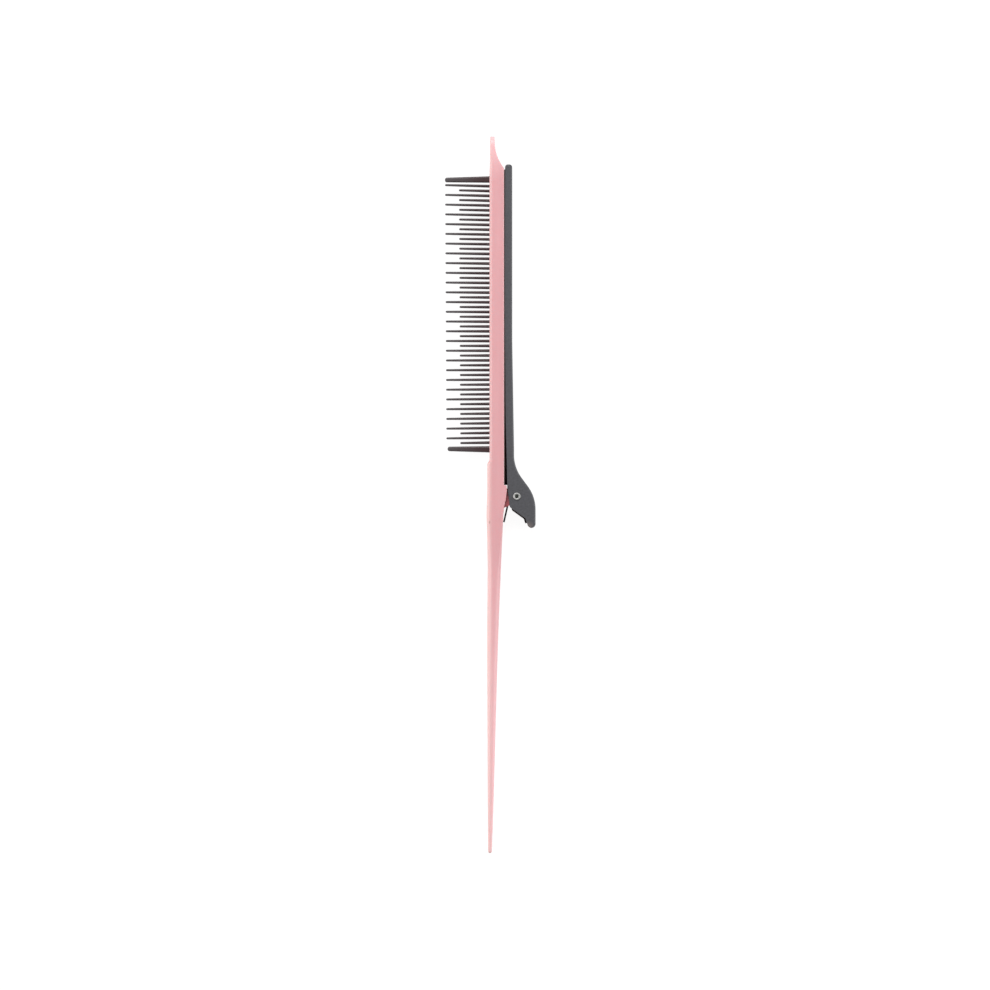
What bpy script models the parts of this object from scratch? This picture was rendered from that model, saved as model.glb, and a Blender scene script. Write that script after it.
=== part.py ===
"""Rat tail comb with a sprung sectioning clip along its back.

Six pieces: a moulded spine with a tongue, grip and tail, a comb insert in a slot in its front, a channel
shaped clip with a thumb lever, a grip strip in the clip's channel, a rivet that the clip turns on,
and a torsion spring round the rivet.

The design's own axes: X from the spine's front face towards the clip, Y from the tail's tip towards the
head, Z across the comb from its middle plane. The comb lies on its flat side, with the frame's origin
under the middle of its box.
"""

import math

import bmesh
import bpy
from mathutils import Matrix, Vector

MM = 0.001

# Clearances
SEAT_GAP = 0.3 * MM  # between pieces that touch when the real comb is together
RUN_GAP = 0.1 * MM  # round the rivet's shank, and under its heads
SIDE_GAP = 0.3 * MM  # beside each lug and beside the coil, so that the clip turns freely
LEG_GAP = 0.08 * MM  # between a spring leg and what it presses on

# Spine, from the tail's tip upwards
TAIL_LENGTH = 113.0 * MM
GRIP_LENGTH = 18.9 * MM
TONGUE_LENGTH = 10.74 * MM
SPINE_THICK = 4.84 * MM  # front face to back face
FRONT_CORNER = 1.1 * MM
BACK_CORNER = 0.4 * MM
GRIP_STEP = 0.76 * MM  # how far the grip's front stands out past the head's
GRIP_SWELL = 0.24 * MM  # the finger bump at the grip's lower end
STEP_RUN = 1.7 * MM  # the length over which the step rises
TONGUE_THICK = 1.64 * MM
TONGUE_SET_BACK = 0.14 * MM
TONGUE_CURVE = 14.4 * MM  # radius of the hollow behind the tongue
TONGUE_END_RADIUS = 3.0 * MM  # of its broad face
TIP_RADIUS = 0.75 * MM

# Comb insert
TOOTH_PAIRS = 27  # one short and one long tooth each
PITCH = 1.62 * MM
LONG_TOOTH = 14.47 * MM
SHORT_TOOTH = 9.8 * MM
TIP_DRIFT = 0.45 * MM  # how much longer the teeth are at the head end
TOOTH_ROOT = 0.84 * MM
TOOTH_TIP = 0.52 * MM
TOOTH_DEEP = 2.4 * MM  # the root's size across the comb
GUARD_ROOT = 2.0 * MM
GUARD_TIP = 1.4 * MM
GUARD_TOP_LENGTH = 14.95 * MM
GUARD_LOW_LENGTH = 14.05 * MM
GUARD_GAP = 0.93 * MM
LEAN_TOP = math.radians(1.4)  # the teeth fan out a little towards both ends
LEAN_LOW = math.radians(-0.8)
RAIL_WIDE = 3.0 * MM
RAIL_DEEP = 2.3 * MM
RAIL_END = 0.5 * MM  # past each guard tooth
ROW_ABOVE_GRIP = 2.3 * MM  # from the grip's step to the lower guard tooth
ROW_BELOW_TONGUE = 2.5 * MM

# Clip
ARM_THICK = 2.34 * MM
ARM_LIFT = 0.42 * MM  # gap between the arm and the spine at the head end
ARM_RISE = 0.67 * MM  # how much wider that gap is at the hinge end
ARM_KNEE = (0.08 * MM, 28.5 * MM)  # where the wider end starts: gap beyond the lift, height over the pin
ARM_PAST_HEAD = 1.24 * MM  # the arm's end, above the foot of the tongue's hollow
ARM_SWELL = 0.6 * MM  # the arm is that much thicker where the lever begins
ARM_CORNER = 0.9 * MM
SWELL_TOP = 52.0 * MM  # above the rivet, where the arm starts to thicken
SWELL_LOW = 16.0 * MM  # and where it has
RAMP_TOP = 9.65 * MM  # above the rivet, where the lines of the arm and the ramp meet
RAMP_ANGLE = math.radians(36.5)  # of the ramp between arm and thumb plate
RAMP_CURVE = 13.0 * MM
LEVER_OUT = 6.27 * MM  # from the rivet out to the thumb plate
LEVER_DROP = 9.2 * MM  # from the rivet down to the centre of the thumb end
THUMB_RADIUS = 1.35 * MM
THUMB_BAR = 2.6 * MM  # from that centre up to the top of the bar between the cheeks
THUMB_HEEL = Vector((-2.03, 2.2)) * MM  # from that centre to the end of the cheek's lower edge
CLIP_WALL = 1.2 * MM
CHEEK_GAP = 0.34 * MM  # between the pad and the cheek's edge that faces it
CHEEK_TOP = 3.45 * MM  # above the rivet, where that edge meets the arm's
CHEEK_LOW = 4.15 * MM  # from the rivet to the cheek's slanting lower edge
CHEEK_CORNER = 3.2 * MM

# Grip strip
STRIP_FOOT = 4.1 * MM  # above the rivet, just clear of the pad
STRIP_END = 1.0 * MM  # from the end wall of the arm's channel

# Hinge
PIN_BELOW_GRIP = 12.35 * MM  # from the grip's step down to the rivet
PIN_OUT = 3.34 * MM  # from the pad's face to the rivet
SHANK_RADIUS = 0.9 * MM
RIVET_HOLE = 0.59 * MM
RIVET_HOLE_DEPTH = 2.0 * MM
RIVET_HEAD = 1.27 * MM
RIVET_HEAD_THICK = 0.35 * MM
SIDE_STANDOFF = 0.05 * MM  # the spine's flat sides stand that far past the rivet's heads
LUG_THICK = 1.0 * MM
LUG_RADIUS = 1.9 * MM
PAD_RISE = 0.95 * MM
PAD_ABOVE_PIN = 3.65 * MM
PAD_BELOW_PIN = 4.15 * MM
PAD_CORNER = 0.8 * MM

# Spring
WIRE = 0.5 * MM
COIL_RADIUS = 2.3 * MM
COIL_TURNS = 3  # whole turns, with the stretch between the two legs on top
TURN_GAP = 0.05 * MM
TAIL_LEG_DROP = 8.65 * MM  # from the rivet down to the end of the leg on the tail
HOOK_ABOVE = 0.25 * MM  # the other leg's bent end, from the thumb end's heel up to the bend
HOOK_BELOW = 1.6 * MM  # and from the heel down to the wire's end

# Worked out from those
ROW_LENGTH = (2 * TOOTH_PAIRS - 1) * PITCH + TOOTH_ROOT + 2 * (GUARD_GAP + GUARD_ROOT)
STEP_Y = TAIL_LENGTH + GRIP_LENGTH
HEAD_Y = STEP_Y + ROW_ABOVE_GRIP + ROW_LENGTH + ROW_BELOW_TONGUE
LENGTH = HEAD_Y + TONGUE_LENGTH
ROW_Y = STEP_Y + ROW_ABOVE_GRIP + GUARD_ROOT + GUARD_GAP + TOOTH_ROOT / 2
PAD_FACE = SPINE_THICK + PAD_RISE
PIN = Vector((PAD_FACE + PIN_OUT, STEP_Y - PIN_BELOW_GRIP))
LEVER_REACH = PIN.x + LEVER_OUT
THUMB = Vector((LEVER_REACH - THUMB_RADIUS, PIN.y - LEVER_DROP))
HEEL = THUMB + THUMB_HEEL
ARM_TOP = HEAD_Y + ARM_PAST_HEAD
BORE_RADIUS = SHANK_RADIUS + RUN_GAP

# The share of the tail's length, how far its front edge stands out, and its back edge and half depth as
# shares of the spine's
TAIL_SHAPE = (
    (0.0, 0.50 * MM, 0.165, 0.15),
    (0.18, 0.62 * MM, 0.30, 0.29),
    (0.39, 0.72 * MM, 0.435, 0.44),
    (0.64, 0.80 * MM, 0.605, 0.64),
    (0.85, 0.66 * MM, 0.80, 0.84),
    (0.94, 0.80 * MM, 0.888, 0.95),
    (1.0, GRIP_STEP + GRIP_SWELL, 0.955, 1.0),
)


def polar(centre, radius, angle):
    return centre + radius * Vector((math.cos(angle), math.sin(angle)))


def tangent_angle(outside, centre, radius, side):
    """Direction from a circle's centre to where a line from an outside point touches the circle."""
    away = outside - centre
    return math.atan2(away.y, away.x) + side * math.acos(radius / away.length)


def mix(a, b, share):
    return a + (b - a) * share


def ease(share):
    """A share from 0 to 1 that starts and ends gently."""
    share = min(max(share, 0.0), 1.0)
    return share * share * (3 - 2 * share)


def rounded(corners, steps=6):
    """The closed outline through (x, y, radius) corners, with an arc of that radius at each."""
    outline = []
    for i, (x, y, radius) in enumerate(corners):
        corner = Vector((x, y))
        back = (Vector(corners[i - 1][:2]) - corner).normalized()
        on = (Vector(corners[(i + 1) % len(corners)][:2]) - corner).normalized()
        if not radius:
            outline.append(corner)
            continue
        half = back.angle(on) / 2
        centre = corner + (back + on).normalized() * radius / math.sin(half)
        start = corner + back * radius / math.tan(half) - centre
        turn = math.copysign(math.pi - 2 * half, -start.cross(back))
        outline += [centre + Matrix.Rotation(turn * s / steps, 2) @ start for s in range(steps + 1)]
    return outline


# Scene, frame and materials

for old in list(bpy.data.objects):
    bpy.data.objects.remove(old)

parts = bpy.data.collections.new("rat_tail_comb")
cutters = bpy.data.collections.new("cutters")
for collection in (parts, cutters):
    bpy.context.scene.collection.children.link(collection)


def empty(name, place, parent=None):
    """An empty, which holds a group of pieces in its own axes."""
    holder = bpy.data.objects.new(name, None)
    holder.location = place
    holder.parent = parent
    parts.objects.link(holder)
    return holder


def moulded(name, colour, roughness, metallic=0.0):
    """A plain material with an sRGB colour given as three numbers from 0 to 1."""
    material = bpy.data.materials.new(name)
    material.use_nodes = True
    shader = material.node_tree.nodes["Principled BSDF"]
    linear = [channel**2.2 for channel in colour]
    shader.inputs["Base Color"].default_value = (*linear, 1.0)
    shader.inputs["Roughness"].default_value = roughness
    shader.inputs["Metallic"].default_value = metallic
    return material


def place(obj, holder, material=None, hidden=False):
    """Gives an object its material and holder, and puts it with the parts or with the cutters."""
    obj.parent = holder
    if material:
        obj.data.materials.append(material)
    if hidden:
        obj.hide_render = True
        obj.display_type = "WIRE"
    (cutters if hidden else parts).objects.link(obj)
    return obj


def as_mesh(curve_object):
    """The mesh that a curve object stands for, welded, with its flat faces whole."""
    bpy.context.scene.collection.objects.link(curve_object)
    bpy.context.view_layer.update()
    evaluated = curve_object.evaluated_get(bpy.context.evaluated_depsgraph_get())
    mesh = bpy.data.meshes.new_from_object(evaluated)
    name, where = curve_object.name, curve_object.matrix_world.copy()
    bpy.data.objects.remove(curve_object)
    solid = bpy.data.objects.new(name, mesh)
    solid.matrix_world = where
    shape = bmesh.new()
    shape.from_mesh(mesh)
    bmesh.ops.remove_doubles(shape, verts=shape.verts, dist=1e-7)
    bmesh.ops.dissolve_limit(shape, angle_limit=0.001, verts=shape.verts, edges=shape.edges)
    shape.to_mesh(mesh)
    shape.free()
    return solid


def plate(name, outline, low, high, about=Vector((0, 0))):
    """A flat outline raised from low to high along Z, in axes that start at the point about."""
    curve = bpy.data.curves.new(name, "CURVE")
    curve.dimensions = "2D"
    curve.fill_mode = "BOTH"
    curve.extrude = (high - low) / 2
    spline = curve.splines.new("POLY")
    spline.points.add(len(outline) - 1)
    spline.use_cyclic_u = True
    for point, corner in zip(spline.points, outline):
        point.co = (*(corner - about), 0, 1)
    flat = bpy.data.objects.new(name, curve)
    flat.location.z = (low + high) / 2
    return as_mesh(flat)


def rod(name, centre, radius, half_length, sides=32):
    """A round bar along Z."""
    shape = bmesh.new()
    bmesh.ops.create_cone(
        shape, cap_ends=True, segments=sides, radius1=radius, radius2=radius, depth=2 * half_length
    )
    mesh = bpy.data.meshes.new(name)
    shape.to_mesh(mesh)
    shape.free()
    bar = bpy.data.objects.new(name, mesh)
    bar.location = (*centre, 0)
    return bar


def box(name, low, high):
    """A box between two corners."""
    shape = bmesh.new()
    size = [b - a for a, b in zip(low, high)]
    middle = [(a + b) / 2 for a, b in zip(low, high)]
    bmesh.ops.create_cube(shape, size=1, matrix=Matrix.Translation(middle) @ Matrix.Diagonal((*size, 1)))
    mesh = bpy.data.meshes.new(name)
    shape.to_mesh(mesh)
    shape.free()
    return bpy.data.objects.new(name, mesh)


def combine(solid, other, operation):
    """Cuts the solid by another one, or joins that one to it."""
    boolean = solid.modifiers.new(f"{operation.lower()} {other.name}", "BOOLEAN")
    boolean.object = other
    boolean.operation = operation


def soften(solid):
    """Smooth shading with sharp edges kept."""
    solid.data.shade_smooth()
    solid.data.set_sharp_from_angle(angle=math.radians(35))


# Where the spring's legs bear, which sets how far its coil winds


def through(share, knots):
    """Values at a share along knots of (share, value, ...), on a smooth curve through them."""
    last = len(knots) - 1
    i = next((k for k in range(last) if share <= knots[k + 1][0]), last - 1)
    slopes = []
    for k in (i, i + 1):
        a, b = knots[max(k - 1, 0)], knots[min(k + 1, last)]
        slopes.append([(q - p) / (b[0] - a[0]) for p, q in zip(a[1:], b[1:])])
    (start, *low), (end, *high) = knots[i], knots[i + 1]
    span = end - start
    t = (share - start) / span
    curve = (2 * t**3 - 3 * t**2 + 1, t**3 - 2 * t**2 + t, 3 * t**2 - 2 * t**3, t**3 - t**2)
    return [
        curve[0] * p + curve[1] * span * m + curve[2] * q + curve[3] * span * n
        for p, m, q, n in zip(low, slopes[0], high, slopes[1])
    ]


def tail_back(y):
    """The back edge of the tail at a height."""
    return through(y / TAIL_LENGTH, TAIL_SHAPE)[1] * SPINE_THICK


tail_foot = Vector((tail_back(PIN.y - TAIL_LEG_DROP) + WIRE / 2 + LEG_GAP, PIN.y - TAIL_LEG_DROP))
tail_angle = tangent_angle(tail_foot, PIN, COIL_RADIUS, -1)
heel_edge = (polar(THUMB, THUMB_RADIUS, tangent_angle(HEEL, THUMB, THUMB_RADIUS, 1)) - HEEL).normalized()
hook_line = HEEL + Vector((heel_edge.y, -heel_edge.x)) * (WIRE / 2 + LEG_GAP)
hook_bend = hook_line - heel_edge * HOOK_ABOVE
hook_end = hook_line + heel_edge * HOOK_BELOW
hook_angle = tangent_angle(hook_bend, PIN, COIL_RADIUS, 1)
coil_turn = COIL_TURNS * math.tau + (tail_angle - hook_angle) % math.tau
coil_rise = coil_turn / math.tau * (WIRE + TURN_GAP)

# Across the comb, from the coil outwards, each piece sets the place of the next
LUG_IN = (coil_rise + WIRE) / 2 + SIDE_GAP
LUG_OUT = LUG_IN + LUG_THICK
CHEEK_IN = LUG_OUT + SIDE_GAP
CHEEK_OUT = CHEEK_IN + CLIP_WALL
RIVET_OUT = CHEEK_OUT + RUN_GAP + RIVET_HEAD_THICK
HALF_DEPTH = RIVET_OUT + SIDE_STANDOFF

frame = empty("comb_frame", ((GUARD_TOP_LENGTH - LEVER_REACH) / 2, -LENGTH / 2, HALF_DEPTH))
hinge = empty("clip_hinge_axis", (*PIN, 0), frame)

pink = moulded("pink_abs", (0.89, 0.67, 0.69), 0.42)
graphite = moulded("graphite_nylon", (0.34, 0.34, 0.36), 0.5)
dark = moulded("dark_grey_acetal", (0.25, 0.22, 0.23), 0.4)
rubber = moulded("black_silicone", (0.03, 0.03, 0.03), 0.8)
nickel = moulded("nickel_plated_brass", (0.84, 0.84, 0.82), 0.25, 1.0)
black_wire = moulded("black_spring_wire", (0.05, 0.05, 0.05), 0.35, 1.0)


# Spine

TONGUE_BACK = TONGUE_SET_BACK + TONGUE_THICK
CURVE_RUN = math.sqrt(TONGUE_CURVE**2 - (TONGUE_CURVE - SPINE_THICK + TONGUE_BACK) ** 2)


def spine_section(y):
    """The spine's front and back edges, half depth, and front and back corner radii at a height."""
    front, back, half = -GRIP_STEP, SPINE_THICK, HALF_DEPTH
    corners = [FRONT_CORNER, BACK_CORNER]
    if y < TAIL_LENGTH:
        out, back_share, depth_share = through(y / TAIL_LENGTH, TAIL_SHAPE)
        front, back, half = -out, back_share * SPINE_THICK, depth_share * HALF_DEPTH
        full_round = 0.49 * min(back - front, 2 * half)
        grip_share = ease((y - 0.8 * TAIL_LENGTH) / (0.2 * TAIL_LENGTH))
        corners = [mix(full_round, corner, grip_share) for corner in corners]
    elif y < STEP_Y:
        swell = 1 - ease((y - TAIL_LENGTH) / (0.5 * GRIP_LENGTH))
        step = 1 - ease((y - STEP_Y + STEP_RUN) / STEP_RUN)
        front = -GRIP_STEP * step - GRIP_SWELL * swell
        back *= mix(TAIL_SHAPE[-1][2], 1.0, ease((y - TAIL_LENGTH) / (PIN.y - PAD_BELOW_PIN - TAIL_LENGTH)))
    else:
        front = TONGUE_SET_BACK * ease((y - HEAD_Y + ROW_BELOW_TONGUE) / (2 * ROW_BELOW_TONGUE))
        above = HEAD_Y + CURVE_RUN - y
        if above < CURVE_RUN:
            back = TONGUE_BACK + TONGUE_CURVE - math.sqrt(TONGUE_CURVE**2 - max(above, 0) ** 2)
    tip = min(y / TIP_RADIUS, 1)
    end = max(1 - (LENGTH - y) / (TONGUE_THICK / 2), 0)
    shrink = max(math.sqrt(1 - (1 - tip) ** 2), 0.25) * max(math.sqrt(1 - end**2), 0.3)
    middle = (front + back) / 2
    front, back = mix(middle, front, shrink), mix(middle, back, shrink)
    half *= max(math.sqrt(1 - (1 - tip) ** 2), 0.25)
    past = y - LENGTH + TONGUE_END_RADIUS
    if past > 0:
        half += math.sqrt(TONGUE_END_RADIUS**2 - past**2) - TONGUE_END_RADIUS
    most = 0.49 * min(back - front, 2 * half)
    return front, back, half, min(corners[0], most), min(corners[1], most)


def spine_heights():
    """Where the spine's sections lie: close together where its shape turns."""
    tip = [TIP_RADIUS * share for share in (0, 0.08, 0.3, 0.6)]
    tail = [mix(TIP_RADIUS, TAIL_LENGTH, k / 16) for k in range(16)]
    grip = [mix(TAIL_LENGTH, STEP_Y - STEP_RUN, k / 6) for k in range(6)]
    step = [STEP_Y - STEP_RUN * (1 - k / 5) for k in range(6)]
    curve = [HEAD_Y - ROW_BELOW_TONGUE] + [HEAD_Y + CURVE_RUN * k / 8 for k in range(9)]
    end = [LENGTH - TONGUE_THICK / 2 * share for share in (1, 0.65, 0.35, 0.1, 0)]
    shoulder = [LENGTH - TONGUE_END_RADIUS * share for share in (1, 0.75, 0.5)]
    return sorted(set(tip + tail + grip + step + curve + shoulder + end))


def section_ring(y, steps=4):
    """One section of the spine, a rectangle with its corners rounded, at a height."""
    front, back, half, front_radius, back_radius = spine_section(y)
    corners = (
        (back - back_radius, half - back_radius, back_radius, 0),
        (front + front_radius, half - front_radius, front_radius, 1),
        (front + front_radius, front_radius - half, front_radius, 2),
        (back - back_radius, back_radius - half, back_radius, 3),
    )
    ring = []
    for x, z, radius, quarter in corners:
        for s in range(steps + 1):
            angle = math.pi / 2 * (quarter + s / steps)
            ring.append((x + radius * math.cos(angle), y, z + radius * math.sin(angle)))
    return ring


def loft(name, rings):
    """A closed skin through rings of as many points each."""
    shape = bmesh.new()
    rows = [[shape.verts.new(point) for point in ring] for ring in rings]
    for low, high in zip(rows, rows[1:]):
        for i in range(len(low)):
            shape.faces.new((low[i - 1], low[i], high[i], high[i - 1]))
    shape.faces.new(rows[0])
    shape.faces.new(rows[-1])
    bmesh.ops.recalc_face_normals(shape, faces=shape.faces)
    mesh = bpy.data.meshes.new(name)
    shape.to_mesh(mesh)
    shape.free()
    return bpy.data.objects.new(name, mesh)


def hinge_pad():
    """The raised pad on the spine's back, which the lugs stand on."""
    root = SPINE_THICK / 2
    top, low = PIN.y + PAD_ABOVE_PIN, PIN.y - PAD_BELOW_PIN
    outline = rounded(
        [
            (root, low, 0),
            (SPINE_THICK + 0.03 * MM, low, 0),
            (PAD_FACE, mix(low, top, 0.74), 3 * PAD_CORNER),
            (PAD_FACE, top, PAD_CORNER),
            (root, top, 0),
        ]
    )
    half = HALF_DEPTH - SIDE_STANDOFF
    return plate("pad", outline, -half, half)


def lug(name, low, high):
    """One of the two lugs that carry the rivet: a round end and two straight edges."""
    roots = (
        Vector((SPINE_THICK - PAD_RISE / 2, PIN.y - PAD_BELOW_PIN)),
        Vector((SPINE_THICK - PAD_RISE / 2, PIN.y + PAD_ABOVE_PIN - PAD_CORNER)),
    )
    start = tangent_angle(roots[0], PIN, LUG_RADIUS, 1)
    end = tangent_angle(roots[1], PIN, LUG_RADIUS, -1)
    arc = [polar(PIN, LUG_RADIUS, start + (end - start) % math.tau * k / 14) for k in range(15)]
    return plate(name, [roots[0], *arc, roots[1]], low, high)


rail_low = (RUN_GAP, STEP_Y + ROW_ABOVE_GRIP - RAIL_END, -RAIL_WIDE / 2)
rail_high = (RUN_GAP + RAIL_DEEP, STEP_Y + ROW_ABOVE_GRIP + ROW_LENGTH + RAIL_END, RAIL_WIDE / 2)

spine = place(loft("spine", [section_ring(y) for y in spine_heights()]), frame, pink)
combine(spine, place(hinge_pad(), frame, hidden=True), "UNION")
combine(spine, place(lug("near_lug", LUG_IN, LUG_OUT), frame, hidden=True), "UNION")
combine(spine, place(lug("far_lug", -LUG_OUT, -LUG_IN), frame, hidden=True), "UNION")
slot = box(
    "rail_slot",
    (-2 * GRIP_STEP, rail_low[1] - SEAT_GAP, rail_low[2] - SEAT_GAP),
    [side + SEAT_GAP for side in rail_high],
)
combine(spine, place(slot, frame, hidden=True), "DIFFERENCE")
lug_bore = rod("lug_bore", PIN, BORE_RADIUS, LUG_OUT + SIDE_GAP / 2)
combine(spine, place(lug_bore, frame, hidden=True), "DIFFERENCE")
soften(spine)


# Comb insert: a rail with the teeth joined to it


def add_tooth(shape, y, length, lean):
    """A tapering tooth of oval section, from inside the rail to its tip."""
    root = RAIL_DEEP / 2
    reach = length + root
    turn = Matrix.Rotation(-lean, 4, "Z") @ Matrix.Rotation(-math.pi / 2, 4, "Y")
    shift = Matrix.Translation((root - reach / 2 * math.cos(lean), y + reach / 2 * math.sin(lean), 0))
    bmesh.ops.create_cone(
        shape,
        cap_ends=True,
        segments=8,
        radius1=TOOTH_ROOT / 2,
        radius2=TOOTH_TIP / 2,
        depth=reach,
        matrix=shift @ turn @ Matrix.Diagonal((TOOTH_DEEP / TOOTH_ROOT, 1, 1, 1)),
    )


def guard_tooth(name, y, thick_side, length, lean):
    """A thick tooth at an end of the row: its edge next to the teeth is straight, the other one slopes."""
    root = RAIL_DEEP / 2
    rise = length * math.tan(lean)
    tip_round = 0.45 * GUARD_TIP
    corners = [
        (root, y, 0),
        (root, y + thick_side * GUARD_ROOT, 0),
        (-length, y + rise + thick_side * GUARD_TIP, tip_round),
        (-length, y + rise, tip_round),
    ]
    return plate(name, rounded(corners, 4)[::-1], -TOOTH_DEEP / 2, TOOTH_DEEP / 2)


comb_insert = place(box("comb_insert", rail_low, rail_high), frame, dark)
teeth_shape = bmesh.new()
count = 2 * TOOTH_PAIRS
for i in range(count):
    share = i / (count - 1)
    size = (LONG_TOOTH if i % 2 else SHORT_TOOTH) + TIP_DRIFT * (share - 0.5)
    add_tooth(teeth_shape, ROW_Y + i * PITCH, size, mix(LEAN_LOW, LEAN_TOP, share))
teeth_mesh = bpy.data.meshes.new("teeth")
teeth_shape.to_mesh(teeth_mesh)
teeth_shape.free()
edge = TOOTH_ROOT / 2 + GUARD_GAP
row_top = ROW_Y + (count - 1) * PITCH
unions = (
    bpy.data.objects.new("teeth", teeth_mesh),
    guard_tooth("low_guard", ROW_Y - edge, -1, GUARD_LOW_LENGTH, LEAN_LOW),
    guard_tooth("top_guard", row_top + edge, 1, GUARD_TOP_LENGTH, LEAN_TOP / 2),
)
for addition in unions:
    combine(comb_insert, place(addition, frame, hidden=True), "UNION")


# Clip: a side outline raised to the clip's width, hollowed to a channel between two cheeks

RAMP_Y = PIN.y + RAMP_TOP
arm_in = SPINE_THICK + ARM_LIFT
arm_out = arm_in + ARM_THICK
lever_line = arm_out + ARM_SWELL
RAMP_LOW = RAMP_Y - (LEVER_REACH - lever_line) / math.tan(RAMP_ANGLE)


def outer_side(depth):
    """The arm's back, the ramp and the thumb plate as corners, at a depth below their surface."""
    drop = depth * math.tan(RAMP_ANGLE / 2)
    return [
        (arm_out - depth, ARM_TOP - depth, 0 if depth else ARM_CORNER),
        (arm_out - depth, PIN.y + SWELL_TOP, 0),
        (lever_line - depth, PIN.y + SWELL_LOW, 0),
        (lever_line - depth, RAMP_Y - drop, RAMP_CURVE + depth),
        (LEVER_REACH - depth, RAMP_LOW - drop, RAMP_CURVE - depth),
    ]


def clip_outline():
    """The clip seen from its side."""
    heel_angle = tangent_angle(HEEL, THUMB, THUMB_RADIUS, 1) - math.tau
    low_edge = polar(PIN, CHEEK_LOW, tangent_angle(HEEL, PIN, CHEEK_LOW, -1))
    slope = (HEEL.y - low_edge.y) / (HEEL.x - low_edge.x)
    edge_x = PAD_FACE + CHEEK_GAP
    nose_y = low_edge.y + (edge_x - low_edge.x) * slope
    cheek_top = PIN.y + CHEEK_TOP
    thumb = [(*polar(THUMB, THUMB_RADIUS, heel_angle * k / 10), 0) for k in range(11)]
    return rounded(
        [
            *outer_side(0),
            *thumb,
            (*HEEL, 0),
            (edge_x, nose_y, CHEEK_CORNER),
            (edge_x, cheek_top, 0),
            (arm_in + ARM_RISE, cheek_top + ARM_RISE, 0),
            (arm_in + ARM_KNEE[0], PIN.y + ARM_KNEE[1], 0),
            (arm_in, ARM_TOP, ARM_CORNER),
        ]
    )


def channel_outline():
    """The hollow between the cheeks, which is open towards the spine and the tail."""
    bar_right = Vector((LEVER_REACH - CLIP_WALL, THUMB.y + THUMB_BAR))
    bar_left = HEEL + heel_edge * SEAT_GAP
    outside = bar_left + (bar_left - bar_right)
    return rounded(
        [
            *outer_side(CLIP_WALL),
            (*bar_right, 0),
            (*outside, 0),
            (0, outside.y, 0),
            (0, ARM_TOP - CLIP_WALL, 0),
        ]
    )


clip_lever = place(plate("clip_lever", clip_outline()[::-1], -CHEEK_OUT, CHEEK_OUT, PIN), hinge, graphite)
channel = plate("channel", channel_outline()[::-1], -CHEEK_IN, CHEEK_IN, PIN)
combine(clip_lever, place(channel, hinge, hidden=True), "DIFFERENCE")
cheek_bore = rod("cheek_bore", (0, 0), BORE_RADIUS, CHEEK_OUT + SIDE_GAP)
combine(clip_lever, place(cheek_bore, hinge, hidden=True), "DIFFERENCE")
soften(clip_lever)


# Grip strip, bonded in the arm's channel

strip_low = (SPINE_THICK + SEAT_GAP - PIN.x, STRIP_FOOT, SEAT_GAP - CHEEK_IN)
strip_high = (arm_out - CLIP_WALL - SEAT_GAP - PIN.x, ARM_TOP - CLIP_WALL - STRIP_END - PIN.y, CHEEK_IN - SEAT_GAP)
grip_strip = place(box("grip_strip", strip_low, strip_high), hinge, rubber)


# Rivet: a turned pin, drilled at both ends and with a head rolled over at each


def rivet_side():
    """Half of the rivet's profile as (radius, height), from its shank round the head to its hole's floor."""
    under = RIVET_OUT - RIVET_HEAD_THICK
    edge_low, edge_high = mix(under, RIVET_OUT, 0.2), mix(under, RIVET_OUT, 0.6)
    return [
        (SHANK_RADIUS, under),
        (mix(SHANK_RADIUS, RIVET_HEAD, 0.85), under),
        (RIVET_HEAD, edge_low),
        (RIVET_HEAD, edge_high),
        (mix(RIVET_HOLE, RIVET_HEAD, 0.8), RIVET_OUT),
        (mix(RIVET_HOLE, RIVET_HEAD, 0.3), RIVET_OUT),
        (RIVET_HOLE, edge_high),
        (RIVET_HOLE, mix(RIVET_OUT, RIVET_OUT - RIVET_HOLE_DEPTH, 0.85)),
        (mix(0, RIVET_HOLE, 0.7), RIVET_OUT - RIVET_HOLE_DEPTH),
        (0, RIVET_OUT - RIVET_HOLE_DEPTH),
    ]


def turned(name, profile, steps=32):
    """A profile of (radius, height) points turned round Z, from the axis out and back to the axis."""
    shape = bmesh.new()
    points = [shape.verts.new((radius, 0, height)) for radius, height in profile]
    for pair in zip(points, points[1:]):
        shape.edges.new(pair)
    mesh = bpy.data.meshes.new(name)
    shape.to_mesh(mesh)
    shape.free()
    solid = bpy.data.objects.new(name, mesh)
    screw = solid.modifiers.new("turn", "SCREW")
    screw.steps = steps
    screw.render_steps = steps
    screw.use_merge_vertices = True
    screw.merge_threshold = 0.001 * MM
    return solid


rivet_top = rivet_side()
rivet_profile = rivet_top[::-1] + [(radius, -height) for radius, height in rivet_top]
hinge_rivet = place(turned("hinge_rivet", rivet_profile), hinge, nickel)
soften(hinge_rivet)


# Torsion spring: the leg on the tail, the coil, and the leg whose bent end bears on the thumb end


def spring_path():
    """The wire's centre line, from the tail upwards, round the rivet and down to the thumb end."""
    side = coil_rise / 2
    path = [(*mix(tail_foot, polar(PIN, COIL_RADIUS, tail_angle), k / 4), side) for k in range(4)]
    steps = 16 * (COIL_TURNS + 1)
    for k in range(steps + 1):
        turn = polar(PIN, COIL_RADIUS, tail_angle - coil_turn * k / steps)
        path.append((*turn, mix(side, -side, k / steps)))
    leaves = polar(PIN, COIL_RADIUS, hook_angle)
    path += [(*mix(leaves, hook_bend, share), -side) for share in (0.3, 0.6, 0.93)]
    path += [(*mix(hook_bend, hook_end, share), -side) for share in (0.2, 0.6, 1.0)]
    return path


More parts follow.
